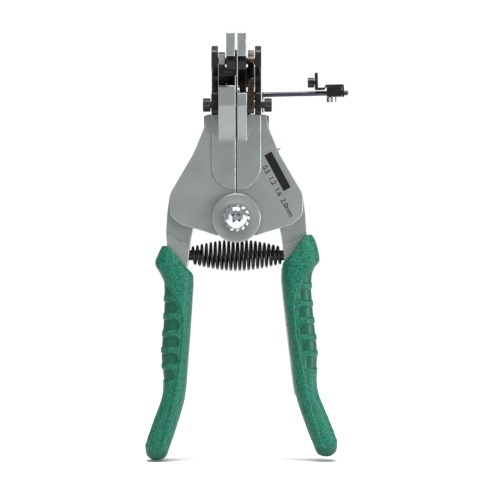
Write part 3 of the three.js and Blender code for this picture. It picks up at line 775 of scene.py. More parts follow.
def block(name: str, low: tuple[float, ...], high: tuple[float, ...]) -> bpy.types.Object:
    """Makes a block between two corners in millimetres.

    Args:
        name: the piece's name.
        low: its lowest x, y and z.
        high: its highest x, y and z.

    Returns:
        The block, its faces pointing outwards.
    """
    mesh = bpy.data.meshes.new(name)
    size, middle = (Vector(high) - Vector(low)) * MM, (Vector(high) + Vector(low)) / 2 * MM
    with edited(mesh) as shape:
        bmesh.ops.create_cube(shape, size=1)
        bmesh.ops.scale(shape, vec=size, verts=shape.verts)
        bmesh.ops.translate(shape, vec=middle, verts=shape.verts)
    return new_piece(name, mesh)


@dataclass
class TangStep(MachinedPiece):
    """Raised front of a handle's tang, below a curved step that clears the frame."""

    rise: float = 0.6
    root: float = 0.1
    radius: float = 22.4
    centre: tuple[float, float] = (14.7, 10.8)
    front: float = -14.0
    reach: tuple[float, float] = (10.0, 45.0)
    heights: tuple[float, float] = (-30.0, -4.0)

    def copied(self) -> bpy.types.Object:
        """Cuts the raised plate out of the tang's own outline.

        Returns:
            The plate.
        """
        raised = super().copied()
        raised.name = f"{self.cad_node}_step"
        raised.data.transform(Matrix.Translation((0, -self.rise * MM, 0)))
        sign = 1 if self.cad_node.startswith("right") else -1
        x0, x1 = sorted(sign * x for x in self.reach)
        z0, z1 = self.heights
        region = block("step_region", (x0, self.front - 2, z0), (x1, self.front + self.root, z1))
        rounder = turned(
            "step_rounder",
            [(self.front - 5, 0), (self.front - 5, self.radius),
             (self.front + 5, self.radius), (self.front + 5, 0)], sides=180,
        )
        place = (sign * self.centre[0] * MM, 0, self.centre[1] * MM)
        rounder.data.transform(Matrix.Translation(place))
        carved(region, rounder, "DIFFERENCE")
        return carved(raised, region, "INTERSECT")

    def finish(self) -> bpy.types.Object:
        """Builds the plate and settles it on the tang's body.

        Returns:
            The settled plate.
        """
        piece = self.build()
        settle(piece, BODY_OF_NODE[self.cad_node])
        return piece


@dataclass
class BlackenedJaw(MachinedPiece):
    """An upper jaw whose grey enamel ends under the beak, where the casting is painted black as the
    shade inside the mouth.
    """

    enamel_end: float = 67.2
    black_front: float = -3.0

    def finish(self) -> bpy.types.Object:
        """Builds the jaw as an enamelled piece and a black piece of painted shade that share their
        edge.

        Returns:
            The enamelled piece.
        """
        grey = self.build()
        black = new_piece(f"{self.cad_node}_blackened", grey.data.copy())
        for piece, wanted in ((grey, False), (black, True)):
            with edited(piece.data) as shape:
                gone = [face for face in shape.faces if self.is_black(face) != wanted]
                bmesh.ops.delete(shape, geom=gone, context="FACES")
        body = BODY_OF_NODE[self.cad_node]
        settle(grey, body, (self.cad_node,))
        # the black oxide under the beak is painted shade of the mouth
        settle(dress(black, BLACK_OXIDE), body)
        return grey

    def is_black(self, face: bmesh.types.BMFace) -> bool:
        """Whether a face lies under the beak.

        Args:
            face: a face of the jaw.

        Returns:
            True where the face is painted black as the mouth's shade.
        """
        middle = face.calc_center_median() / MM
        return middle.z < self.enamel_end and middle.y < self.black_front


@dataclass
class LeafSpring(MachinedPiece):
    """Leaf spring behind an upper jaw's tail, pressed flat as the jaw closes."""

    back: float = -6.0
    anchor_height: float = 30.0
    kept_depth: float = 0.1

    def finish(self) -> bpy.types.Object:
        """Builds the spring, settles it and gives it a mesh of its own.

        Returns:
            The settled spring.
        """
        piece = super().finish()
        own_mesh(piece)
        return piece


# ---------------------------------------------------------------- main pivot


@dataclass
class MainPivot:
    """Pan-head bolt, toothed lock washer and cap disc on the tool's pivot."""

    head_radius: float = 4.65
    head_top: float = -25.3
    head_base: float = -22.2
    shank_radius: float = 2.5
    shank_end: float = -1.5
    recess_half: float = 2.7
    recess_turn: float = 38.0
    recess_depth: float = 2.2
    wing_half: float = 0.6325
    dome_share: float = 0.78
    head_edge: float = 0.15
    tooth_count: int = 13
    washer_back: float = -21.1
    washer_front: float = -21.9
    washer_radius: float = 5.6
    tooth_size: tuple[float, float, float] = (1.5, 1.45, 0.55)
    tooth_inset: float = 0.75
    tooth_twist: float = 0.42
    flat_radius: float = 4.1
    flat_width: float = 2.0
    flat_depth: float = 0.5
    cap_radius: float = 10.3
    cap_face: float = -20.8
    cap_back: float = -18.8
    cap_rim: float = 0.55
    cap_edge: float = 0.2
    bore_gap: float = 0.3
    dish_depth: float = 0.25
    dish: tuple[float, float] = (6.4, 7.2)

    def bolt(self) -> None:
        """Turns the domed head and its shank and cuts the cross recess."""
        height = self.head_base - self.head_top
        dome = [
            (
                self.head_top + height * (1 - math.cos(a)) * self.dome_share,
                self.head_radius * math.sin(a),
            )
            for a in np.linspace(0, math.pi / 2, 14)
        ]
        profile = dome + [
            (self.head_base - self.head_edge, self.head_radius),
            (self.head_base, self.head_radius - self.head_edge),
            (self.head_base, self.shank_radius), (self.shank_end, self.shank_radius),
            (self.shank_end, 0.0),
        ]
        head = turned("pivot_bolt_head", profile, sides=96)
        for quarter in (0, 90):
            turn = Matrix.Rotation(math.radians(self.recess_turn + quarter), 4, "Y")
            head = carved(head, self.recess_wing(turn), "DIFFERENCE")
        shade(head.data, degrees=28)
        dress(head, CHROME_PLATE)
        settle(head, "pivot", ("pivot_bolt",))

    def recess_wing(self, turn: Matrix) -> bpy.types.Object:
        """Makes one tapered bar of the cross recess.

        Args:
            turn: rotation about the bolt's axis.

        Returns:
            The cutting shape.
        """
        ends = (
            [
                tuple(turn @ Vector((x * self.recess_half * share, y, z * self.wing_half * share)))
                for x, z in ((-1, -1), (1, -1), (1, 1), (-1, 1))
            ]
            for y, share in ((self.head_top - 1, 1.25), (self.head_top + self.recess_depth, 0.45))
        )
        return prism("recess_wing", *ends)

    def washer(self) -> None:
        """Sets twisted teeth round a flat ring, a share of a turn apart."""
        rule = RuleTree("washer_teeth", {
            "Teeth": self.tooth_count, "Ring Radius": (self.washer_radius - self.tooth_inset) * MM,
            "Twist": self.tooth_twist,
        })
        sizes = rule.given
        ring = rule.add(
            "GeometryNodeMeshCircle", Vertices=sizes["Teeth"], Radius=sizes["Ring Radius"]
        )
        tooth = rule.add("GeometryNodeMeshCube", Size=tuple(s * MM for s in self.tooth_size))
        step = rule.add("ShaderNodeMath", {"operation": "DIVIDE"}, i0=math.tau, i1=sizes["Teeth"])
        number = rule.add("GeometryNodeInputIndex")
        angle = rule.add("ShaderNodeMath", MULTIPLY, i0=number.outputs[0], i1=step.outputs[0])
        turn = rule.add("ShaderNodeCombineXYZ", Z=angle.outputs[0])
        twist = rule.add("ShaderNodeCombineXYZ", X=sizes["Twist"])
        both = rule.add(
            "FunctionNodeRotateRotation", {"rotation_space": "LOCAL"}, Rotation=turn.outputs[0],
            Rotate_By=twist.outputs[0],
        )
        teeth = rule.add(
            "GeometryNodeInstanceOnPoints", Points=ring.outputs["Mesh"],
            Instance=tooth.outputs["Mesh"], Rotation=both.outputs[0],
        )
        path = rule.add(
            "GeometryNodeCurvePrimitiveCircle", Resolution=64, Radius=self.flat_radius * MM
        )
        section = rule.add(
            "GeometryNodeCurvePrimitiveQuadrilateral", Width=self.flat_width * MM,
            Height=self.flat_depth * MM,
        )
        flat = rule.add(
            "GeometryNodeCurveToMesh", Curve=path.outputs[0], Profile_Curve=section.outputs[0],
            Fill_Caps=True,
        )
        joined = rule.add("GeometryNodeJoinGeometry")
        for part in (teeth.outputs[0], flat.outputs[0]):
            rule.tree.links.new(part, joined.inputs[0])
        middle = (self.washer_back + self.washer_front) / 2 * MM
        placed = rule.add(
            "GeometryNodeTransform", Geometry=joined.outputs[0], Translation=(0, middle, 0),
            Rotation=(math.pi / 2, 0, 0),
        )
        piece = rule.run(placed.outputs[0], CHROME_PLATE)
        settle(piece, "pivot", ("toothed_washer",))

    def cap(self) -> None:
        """Turns the cap disc with its rounded rim and a shallow dish."""
        rim, face, bore = self.cap_rim, self.cap_face, self.shank_radius + self.bore_gap
        arc = [
            (face + rim * (1 - math.cos(a)), self.cap_radius - rim * (1 - math.sin(a)))
            for a in np.linspace(0, math.pi / 2, 7)
        ]
        sunk = face + self.dish_depth
        profile = [(sunk, bore), (sunk, self.dish[0]), (face, self.dish[1])] + arc
        profile += [
            (self.cap_back - self.cap_edge, self.cap_radius),
            (self.cap_back, self.cap_radius - self.cap_edge), (self.cap_back, bore),
        ]
        piece = turned("pivot_cap_disc", profile, sides=160)
        dress(piece, GREY_ENAMEL)
        settle(piece, "pivot", ("pivot_cap",))

    def build(self) -> None:
        """Builds the bolt, the washer and the cap."""
        self.bolt()
        self.washer()
        self.cap()


# ---------------------------------------------------------------- barrel spring


@dataclass
class BarrelSpring:
    """Barrel-shaped compression spring between the handles, in four lengths."""

    half_length: float = 18.9
    joined_at: float = 11.5
    height: float = -15.7
    depth: float = -10.15
    end_radius: float = 3.3
    middle_radius: float = 6.3
    wire_radius: float = 0.55
    turns: int = 20
    steps_per_turn: int = 30

    def length(self, name: str, start_x: float, end_x: float) -> bpy.types.Object:
        """Winds the wire between two places along the barrel.

        Args:
            name: the piece's name.
            start_x: where it starts.
            end_x: where it ends, further right.

        Returns:
            The wound wire.
        """
        start, span = (start_x / self.half_length + 1) / 2, (end_x - start_x) / self.half_length / 2
        rule = RuleTree(name, {
            "Start": start, "Span": span, "Half Length": self.half_length * MM,
            "Height": self.height * MM, "Depth": self.depth * MM,
            "End Radius": self.end_radius * MM,
            "Swell": (self.middle_radius - self.end_radius) * MM,
            "Wire": self.wire_radius * MM, "Turns": self.turns,
            "Points": round(self.turns * span * self.steps_per_turn) + 1,
        })
        sizes, add = rule.given, rule.add
        line = add("GeometryNodeCurvePrimitiveLine", End=(1.0, 0.0, 0.0))
        fine = add("GeometryNodeResampleCurve", Curve=line.outputs[0], Count=sizes["Points"])
        along = add("GeometryNodeSplineParameter").outputs["Factor"]
        share = add(
            "ShaderNodeMath", SCALE_AND_ADD, i0=along, i1=sizes["Span"], i2=sizes["Start"]
        ).outputs[0]
        half_turn = add("ShaderNodeMath", MULTIPLY, i0=share, i1=math.pi).outputs[0]
        bulge = add("ShaderNodeMath", {"operation": "SINE"}, i0=half_turn).outputs[0]
        radius = add(
            "ShaderNodeMath", SCALE_AND_ADD, i0=bulge, i1=sizes["Swell"], i2=sizes["End Radius"]
        ).outputs[0]
        circle = add("ShaderNodeMath", MULTIPLY, i0=sizes["Turns"], i1=math.tau).outputs[0]
        angle = add("ShaderNodeMath", MULTIPLY, i0=share, i1=circle).outputs[0]
        cosine = add("ShaderNodeMath", {"operation": "COSINE"}, i0=angle).outputs[0]
        sine = add("ShaderNodeMath", {"operation": "SINE"}, i0=angle).outputs[0]
        y = add("ShaderNodeMath", SCALE_AND_ADD, i0=radius, i1=cosine, i2=sizes["Depth"]).outputs[0]
        z = add("ShaderNodeMath", SCALE_AND_ADD, i0=radius, i1=sine, i2=sizes["Height"]).outputs[0]
        centred = add("ShaderNodeMath", SCALE_AND_ADD, i0=share, i1=2.0, i2=-1.0)
        x = add("ShaderNodeMath", MULTIPLY, i0=centred.outputs[0], i1=sizes["Half Length"])
        place = add("ShaderNodeCombineXYZ", X=x.outputs[0], Y=y, Z=z).outputs[0]
        coil = add("GeometryNodeSetPosition", Geometry=fine.outputs[0], Position=place)
        section = add("GeometryNodeCurvePrimitiveCircle", Resolution=10, Radius=sizes["Wire"])
        wire = add(
            "GeometryNodeCurveToMesh", Curve=coil.outputs[0], Profile_Curve=section.outputs[0],
            Fill_Caps=True,
        )
        piece = rule.run(wire.outputs[0], SPRING_WIRE)
        shade(piece.data, degrees=50)
        return piece

    def build(self) -> None:
        """Winds four lengths, two on each side of the middle, and hides the CAD spring."""
        for side in Side:
            frame_half, lever = f"{side.word}_frame_half", f"{side.word}_lever"
            for word, low, high, near, far in (
                ("inner", 0.0, self.joined_at, "pivot", frame_half),
                ("outer", self.joined_at, self.half_length, frame_half, lever),
            ):
                first, last = sorted((side.value * low, side.value * high))
                piece = self.length(f"handle_spring_{side.word}_{word}", first, last)
                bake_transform(piece)
                if (side, word) == (Side.LEFT, "inner"):
                    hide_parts("handle_spring")


# ---------------------------------------------------------------- grips


def smoothstep(low: float, high: float, value: np.ndarray) -> np.ndarray:
    """Rises smoothly from 0 at low to 1 at high.

    Args:
        low: where it starts to rise.
        high: where it is up.
        value: the places.

    Returns:
        The height at each place.
    """
    share = np.clip((value - low) / (high - low), 0, 1)
    return share * share * (3 - 2 * share)


def inside_distance(points: np.ndarray, corners: list[tuple[float, float]]) -> np.ndarray:
    """Distance from points to a polygon's edge, positive inside.

    Args:
        points: rows of (u, z).
        corners: the polygon's corners in order.

    Returns:
        One distance for each point, negative outside.
    """
    nearest = np.full(len(points), 1e9)
    inside = np.zeros(len(points), dtype=bool)
    for start, end in zip(corners, corners[1:] + corners[:1]):
        a, b = np.array(start), np.array(end)
        along = np.clip(((points - a) @ (b - a)) / ((b - a) @ (b - a)), 0, 1)
        nearest = np.minimum(nearest, np.linalg.norm(points - a - along[:, None] * (b - a), axis=1))
        crosses = (a[1] > points[:, 1]) != (b[1] > points[:, 1])
        if b[1] != a[1]:
            reach = a[0] + (points[:, 1] - a[1]) * (b[0] - a[0]) / (b[1] - a[1])
            inside ^= crosses & (points[:, 0] < reach)
    return np.where(inside, nearest, -nearest)


@dataclass
class Grip:
    """Green vinyl grip: an ear at the top, a stepped finger zone with five D-shaped dimples."""

    side: Side
    lean: float = 0.0
    ear_rise: float = 0.0
    dimple_rise: float = 0.0
    middle: float = -10.15
    squareness: float = 0.72
    rings: int = 400
    sides: int = 176
    rim: float = 0.4
    mouth_depth: float = 1.0
    zone_depth: float = 0.5
    dimple_depth: float = 0.75
    dimple_corner: float = 2.3
    ear_lift: float = 1.7
    ear_peak: float = 0.88
    ear_reach: float = 4.0
    tip_length: float = 1.6
    tip_inset: float = 1.5
    lip_width: float = 0.55
    lip_height: float = 0.12
    first_share: float = 0.6
    side_fade: float = 0.45
    far_out: float = 60.0

    # Inner edge (u, z), outer edge (u, z) and half depth of the sections, top to bottom, where u
    # runs outwards from the tool's middle.
    STATIONS = (
        (20.4, -21.8, 31.4, -11.5, 6.8), (18.6, -23.6, 33.1, -15.2, 8.0),
        (18.2, -26.5, 34.3, -19.6, 8.5), (18.4, -31.0, 31.2, -26.6, 8.5),
        (19.2, -43.6, 31.3, -41.0, 8.5), (20.4, -60.0, 32.3, -58.0, 8.5),
        (21.8, -75.8, 31.4, -73.0, 8.3), (25.3, -88.6, 35.6, -86.0, 8.0),
        (28.2, -97.0, 38.4, -94.4, 7.6), (29.6, -100.6, 38.2, -99.6, 6.6),
        (31.4, -102.3, 36.4, -102.2, 4.2),
    )
    # Outline (u, z) of the sunk finger zone, past the grip's outer edge.
    ZONE = (
        (36.0, -23.4), (30.3, -25.6), (27.5, -29.9), (25.0, -33.9), (23.2, -37.9),
        (22.4, -42.5), (22.6, -48.7), (22.9, -55.2), (24.4, -64.0), (25.9, -72.7),
        (27.6, -81.4), (29.7, -88.1), (31.2, -94.6), (32.1, -97.2), (33.4, -98.2),
        (35.0, -97.9), (36.9, -96.4), (41.0, -93.6), (60.0, -93.6), (60.0, -23.4),
    )
    # Inner end, top and bottom of each dimple.
    DIMPLES = (
        (24.9, -35.0, -40.4), (23.8, -42.4, -47.6), (23.9, -49.6, -54.8),
        (24.5, -56.6, -61.8), (26.2, -63.5, -68.7),
    )
    SMOOTH_BELOW = -98.0

    def leaned(self, u: np.ndarray, z: np.ndarray, way: int = 1) -> tuple[np.ndarray, np.ndarray]:
        """Leans points outwards about the main pivot.

        Args:
            u: their distances from the tool's middle.
            z: their heights.
            way: 1 to lean them, -1 to bring them back.

        Returns:
            The new distances and heights.
        """
        angle = math.radians(self.lean) * way
        cosine, sine = math.cos(angle), math.sin(angle)
        return u * cosine - z * sine, u * sine + z * cosine

    def track(self) -> np.ndarray:
        """Runs a smooth curve through the stations, its points evenly spaced.

        Returns:
            Rows of inner u, inner z, outer u, outer z, half depth and distance from the top.
        """
        given = np.array(self.STATIONS)
        given[:, 0], given[:, 1] = self.leaned(given[:, 0], given[:, 1])
        given[:, 2], given[:, 3] = self.leaned(given[:, 2], given[:, 3])
        given[:2, [1, 3]] += self.ear_rise
        padded = np.vstack([2 * given[0] - given[1], given, 2 * given[-1] - given[-2]])
        run = np.linspace(0, len(given) - 1, 4000)
        first = np.minimum(run.astype(int), len(given) - 2)
        t = (run - first)[:, None]
        a, b, c, d = (padded[first + shift] for shift in range(4))
        dense = 0.5 * (
            2 * b + (c - a) * t + (2 * a - 5 * b + 4 * c - d) * t**2
            + (3 * b - a - 3 * c + d) * t**3
        )
        centre = (dense[:, :2] + dense[:, 2:4]) / 2
        gone = np.concatenate([[0], np.cumsum(np.linalg.norm(np.diff(centre, axis=0), axis=1))])
        even = np.linspace(self.rim, gone[-1], self.rings)
        wanted = np.concatenate([[0, 0.06, 0.14, 0.26], even])
        columns = [np.interp(wanted, gone, dense[:, i]) for i in range(5)]
        return np.column_stack(columns + [wanted])

    def shell(self) -> np.ndarray:
        """Lays the plain rings, with the open mouth at the top and the rounded tip.

        Returns:
            Ring, side and coordinate (u, y, z).
        """
        track = self.track()
        angle = np.arange(self.sides) * 2 * math.pi / self.sides
        across, through = (
            np.sign(v) * np.abs(v) ** self.squareness for v in (np.cos(angle), np.sin(angle))
        )
        inset = np.clip(1 - track[:, 5] / self.rim, 0, 1)
        inset = self.rim * (1 - np.sqrt(1 - inset**2))
        left = np.clip(1 - (track[-1, 5] - track[:, 5]) / self.tip_length, 0, 1)
        inset += self.tip_inset * (1 - np.sqrt(1 - left**2 * 0.98))
        extra_depth = [0.0, 0.05, self.mouth_depth, self.mouth_depth + 0.1]
        extra_inset = [self.rim + 0.5, self.rim + 0.9, self.rim + 1.1, 3.0]
        rows = [
            (track[0], more + 0 * depth, depth) for depth, more in zip(extra_depth, extra_inset)
        ][::-1] + [(row, more, 0.0) for row, more in zip(track, inset)]
        rings = []
        for row, more, sunk in rows:
            inner, outer = row[:2], row[2:4]
            chord = outer - inner
            length = np.linalg.norm(chord)
            way = np.array([chord[1], -chord[0]]) / length
            half = chord / 2 * (1 - 2 * min(more, length * 0.46) / length)
            centre = (inner + outer) / 2 + way * sunk
            place = centre + across[:, None] * half
            place = place + way * self.ear_flat(across, row[5])[:, None]
            deep = max(row[4] - more, 0.4)
            rings.append(np.column_stack([place[:, 0], self.middle + deep * through, place[:, 1]]))
        return np.array(rings)

    def ear_flat(self, across: np.ndarray, gone: float) -> np.ndarray:
        """Lifts the mouth's edge over a straight line, most where the ear's flat top begins.

        Args:
            across: places from -1 on the inner edge to 1 on the outer one.
            gone: distance from the mouth.

        Returns:
            The lift at each place, negative upwards.
        """
        share = (across + 1) / 2
        peak = self.ear_peak
        rise = np.where(share < peak, share / peak, (1 - share) / (1 - peak))
        return -self.ear_lift * rise * max(0.0, 1 - gone / self.ear_reach)

    def relief(self, flat: np.ndarray) -> tuple[np.ndarray, np.ndarray]:
        """How far the surface is sunk, and where it is moulded smooth.

        Args:
            flat: rows of (u, z) as the grip stands.

        Returns:
            Depth in millimetres and smoothness from 0 to 1.
        """
        u, z = self.leaned(flat[:, 0], flat[:, 1], -1)
        plain = np.column_stack([u, z - self.dimple_rise * smoothstep(-92, -60, z)])
        zone = inside_distance(plain, list(self.ZONE))
        lip = np.exp(-((zone / self.lip_width) ** 2))
        depth = self.zone_depth * smoothstep(-0.22, 0.3, zone)
        depth -= self.lip_height * lip * smoothstep(-92, -70, z)
        smooth = np.zeros(len(flat))
        for inner, top, bottom in self.DIMPLES:
            half = (top - bottom) / 2
            off_u = np.abs(plain[:, 0] - (inner + self.far_out) / 2)
            off_u = off_u - (self.far_out - inner) / 2 + self.dimple_corner
            off_z = np.abs(plain[:, 1] - (top + bottom) / 2) - half + self.dimple_corner
            out = np.hypot(np.maximum(off_u, 0), np.maximum(off_z, 0)) - self.dimple_corner
            inside = -(out + np.minimum(np.maximum(off_u, off_z), 0))
            depth += self.dimple_depth * smoothstep(-0.1, 0.55, inside)
            smooth = np.maximum(smooth, smoothstep(-0.25, 0.1, inside))
        first = np.minimum(zone - 0.9, plain[:, 1] + 32.8)
        depth += self.first_share * self.dimple_depth * smoothstep(-0.1, 0.5, first)
        smooth = np.maximum(smooth, smoothstep(-0.2, 0.1, first))
        smooth = np.maximum(smooth, smoothstep(self.SMOOTH_BELOW + 1, self.SMOOTH_BELOW - 1, z))
        return depth, smooth

    def build(self) -> None:
        """Lays the rings, sinks the relief along the surface and closes both ends."""
        rings = self.shell()
        along = np.gradient(rings, axis=0)
        round_about = (np.roll(rings, -1, axis=1) - np.roll(rings, 1, axis=1)) / 2
        normal = np.cross(round_about, along)
        normal /= np.maximum(np.linalg.norm(normal, axis=2, keepdims=True), 1e-9)
        centre = rings.mean(axis=1, keepdims=True)
        if np.mean(np.sum(normal * (rings - centre), axis=2)) < 0:
            normal = -normal
        flat = rings[:, :, [0, 2]].reshape(-1, 2)
        depth, smooth = self.relief(flat)
        side_on = np.abs(normal[:, :, 0]).reshape(-1)
        depth = (depth * (1 - self.side_fade * side_on**3)).reshape(rings.shape[:2])
        depth[:5] = 0
        sunk = rings - normal * depth[:, :, None]
        points = sunk.reshape(-1, 3)
        points[:, 0] *= self.side.value
        count = len(rings)
        faces = []
        for ring in range(count - 1):
            base = ring * self.sides
            for side in range(self.sides):
                step = (side + 1) % self.sides
                lower = base + self.sides
                faces.append((base + side, base + step, lower + step, lower + side))
        faces.append(tuple(range(self.sides))[::-1])
        faces.append(tuple(range((count - 1) * self.sides, count * self.sides)))
        piece = piece_from(f"{self.side.word}_grip_vinyl", points, faces, edge_angle=60)
        face_out(piece.data)
        mark = piece.data.attributes.new("smooth", "FLOAT", "POINT")
        mark.data.foreach_set("value", smooth.astype(np.float32))
        dress(piece, GREEN_VINYL)
        settle(piece, f"{self.side.word}_lever", (f"{self.side.word}_grip",))


# The right handle leans out further, with its ear and its dimples higher.
GRIP_STANCE = {
    Side.LEFT: {},
    Side.RIGHT: {"lean": 2.5, "ear_rise": 3.4, "dimple_rise": 4.1},
}


@dataclass
class GripStrip:
    """Filed inner edge of the handle's core, bare along the inside of its grip."""

    side: Side
    start: float = 4.5
    end: float = 62.0
    half_width: float = 1.6
    sunk: float = 1.0
    depth: float = -10.15
    proud: tuple[float, float] = (0.1, 0.5)

    def build(self) -> None:
        """Sweeps the strip along the grip's inner edge."""
        track = Grip(self.side, **GRIP_STANCE[self.side]).track()
        track = track[(track[:, 5] > self.start) & (track[:, 5] < self.end)][::6]
        proud = self.proud[self.side is Side.RIGHT]
        points = []
        for row in track:
            way = (row[2:4] - row[:2]) / np.linalg.norm(row[2:4] - row[:2])
            for reach, y in ((-1, -1), (-1, 1), (1, 1), (1, -1)):
                at = row[:2] + way * (self.sunk if reach > 0 else -proud)
                points.append((self.side.value * at[0], self.depth + y * self.half_width, at[1]))
        count = len(track)
        faces = [
            (4 * i + k, 4 * i + (k + 1) % 4, 4 * i + 4 + (k + 1) % 4, 4 * i + 4 + k)
            for i in range(count - 1) for k in range(4)
        ]
        faces += [(3, 2, 1, 0), tuple(range(4 * count - 4, 4 * count))]
        piece = piece_from(f"{self.side.word}_core_edge", np.array(points), faces)
        face_out(piece.data)
        settle(dress(piece, BARE_ALLOY), f"{self.side.word}_lever")


# ---------------------------------------------------------------- painted shade, marks and details


@dataclass(frozen=True)
class DarkWeb:
    """Black plate of painted shade that fills a seam or a slot: a prism along X with a (y, z)
    outline.
    """

    name: str
    body: str
    low: float
    high: float
    outline: tuple[tuple[float, float], ...]

    def build(self) -> None:
        """Builds the prism and settles it."""
        ends = ([(x, y, z) for y, z in self.outline] for x in (self.low, self.high))
        settle(dress(prism(self.name, *ends), BLACK_OXIDE), self.body)


# Outlines of black plates that stand for the shade in the seams, the mouth and the jaw slots.
FRAME_SEAM = (
    (-17.6, 8.6), (-17.6, 22.0), (-18.1, 22.2), (-18.1, 34.0), (-18.1, 43.0), (-14.6, 43.0),
    (-14.6, 8.6),
)
LOWER_JAW_SEAM = (
    (-18.1, 34.4), (-25.3, 46.9), (-25.3, 51.6), (-14.6, 51.6), (-14.6, 43.1), (-18.1, 43.1),
)
MOUTH_SEAM = ((-12.0, 51.0), (-12.0, 60.2), (-9.0, 60.2), (-9.0, 51.0))
BEAK_SEAM = ((-17.6, 60.0), (-17.6, 70.6), (-15.6, 70.6), (-15.6, 60.0))
JAW_SLOT = ((-4.9, 55.9), (-4.9, 64.5), (-4.1, 64.5), (-4.1, 55.9))
SHADOW_FILLS = (
    DarkWeb("frame_seam_web", "left_frame_half", -0.27, 0.2, FRAME_SEAM),
    DarkWeb("lower_jaw_web", "left_frame_half", -0.27, 0.36, LOWER_JAW_SEAM),
    DarkWeb("mouth_web", "left_frame_half", -0.27, 0.36, MOUTH_SEAM),
    DarkWeb("left_beak_web", "left_jaw", -0.52, 0.3, BEAK_SEAM),
    DarkWeb("left_slot_web", "left_jaw", -7.7, -4.3, JAW_SLOT),
    DarkWeb("right_slot_web", "right_jaw", 3.3, 7.7, JAW_SLOT),
)


@dataclass
class PrintedMarks:
    """Pad-printed bar and wire sizes on the right frame half, running down beside its edge."""

    face: float = -18.0
    turn_degrees: float = 61.6
    bar: tuple[float, float, float, float] = (17.3, 19.6, 17.1, 3.45)
    sizes: tuple[str, ...] = ("0.5", "1.2", "1.6", "2.0mm")
    first: tuple[float, float] = (10.9, 21.5)
    pitch: float = 5.3
    text_height: float = 3.0
    stroke: float = 0.05
    ink: float = 0.02

    def place(self, x: float, z: float) -> Matrix:
        """Turns a flat drawing upright onto the casting's front and down along its edge.

        Args:
            x: where the drawing's origin goes.
            z: where the drawing's origin goes.

        Returns:
            The placing matrix.
        """
        upright = Matrix.Rotation(math.pi / 2, 4, "X")
        along = Matrix.Rotation(math.radians(self.turn_degrees), 4, "Y")
        spot = Matrix.Translation((x * MM, (self.face - self.ink) * MM, z * MM))
        return spot @ along @ upright

    def build(self) -> None:
        """Prints the bar and the row of wire sizes."""
        x, z, length, height = self.bar
        mesh = bpy.data.meshes.new("printed_bar")
        with edited(mesh) as drawing:
            bmesh.ops.create_grid(drawing, x_segments=1, y_segments=1, size=0.5)
            bmesh.ops.scale(drawing, vec=(length * MM, height * MM, 1), verts=drawing.verts)
            bmesh.ops.transform(drawing, matrix=self.place(x, z), verts=drawing.verts)
        settle(dress(new_piece("printed_bar", mesh), BLACK_INK), "right_frame_half")
        turn = math.radians(self.turn_degrees)
        for number, words in enumerate(self.sizes):
            spot_x = self.first[0] + number * self.pitch * math.cos(turn)
            spot_z = self.first[1] - number * self.pitch * math.sin(turn)
            self.number(f"printed_size_{number + 1}", words, spot_x, spot_z)

    def number(self, name: str, words: str, x: float, z: float) -> None:
        """Prints one wire size.

        Args:
            name: the piece's name.
            words: what it says.
            x: place of its lower left corner.
            z: place of its lower left corner.
        """
        curve = bpy.data.curves.new(name, "FONT")
        curve.body = words
        curve.size = self.text_height * MM
        curve.offset = self.stroke * MM
        drawn = new_piece(name, curve)
        mesh = evaluated_mesh(drawn)
        bpy.data.objects.remove(drawn)
        mesh.transform(self.place(x, z))
        settle(dress(new_piece(name, mesh), BLACK_INK), "right_frame_half")


@dataclass
class CastingDetails:
    """Small marks of the casting: ejector circles on the pad and a stub on the right edge."""

    pad_face: float = -18.5
    circles: tuple[tuple[float, float, str], ...] = (
        (-4.3, 18.4, "left_frame_half"), (4.0, 17.7, "right_frame_half"),
    )
    circle_radius: float = 2.35
    circle_rise: float = 0.07
    circle_root: float = 0.1
    circle_width: float = 0.14
    stub_outline: tuple[tuple[float, float], ...] = (
        (16.6, 27.6), (18.4, 28.9), (18.8, 29.3), (17.6, 29.3), (16.2, 29.0),
    )
    stub_depths: tuple[float, float] = (-17.2, -15.2)

    def circle(self, number: int, x: float, z: float, body: str) -> None:
        """Raises one thin ring left by an ejector pin.

        Args:
            number: the ring's number.
            x: place of its middle.
            z: place of its middle.
            body: the body that it rides on.
        """
        front, back = self.pad_face - self.circle_rise, self.pad_face + self.circle_root
        r, wide = self.circle_radius, self.circle_width
        profile = [
            (front, r - wide / 2), (front, r + wide / 2), (back, r + wide), (back, r - wide),
        ]
        piece = turned(f"ejector_circle_{number}", profile, sides=64)
        piece.data.transform(Matrix.Translation((x * MM, 0, z * MM)))
        dress(piece, GREY_ENAMEL)
        settle(piece, body)

    def stub(self) -> None:
        """Adds the stub of the gate on the right frame half's edge."""
        ends = ([(x, y, z) for x, z in self.stub_outline] for y in self.stub_depths)
        settle(dress(prism("gate_stub", *ends), GREY_ENAMEL), "right_frame_half")

    def build(self) -> None:
        """Builds both circles and the stub."""
        for number, (x, z, body) in enumerate(self.circles, 1):
            self.circle(number, x, z, body)
        self.stub()


# ---------------------------------------------------------------- knurled screw heads


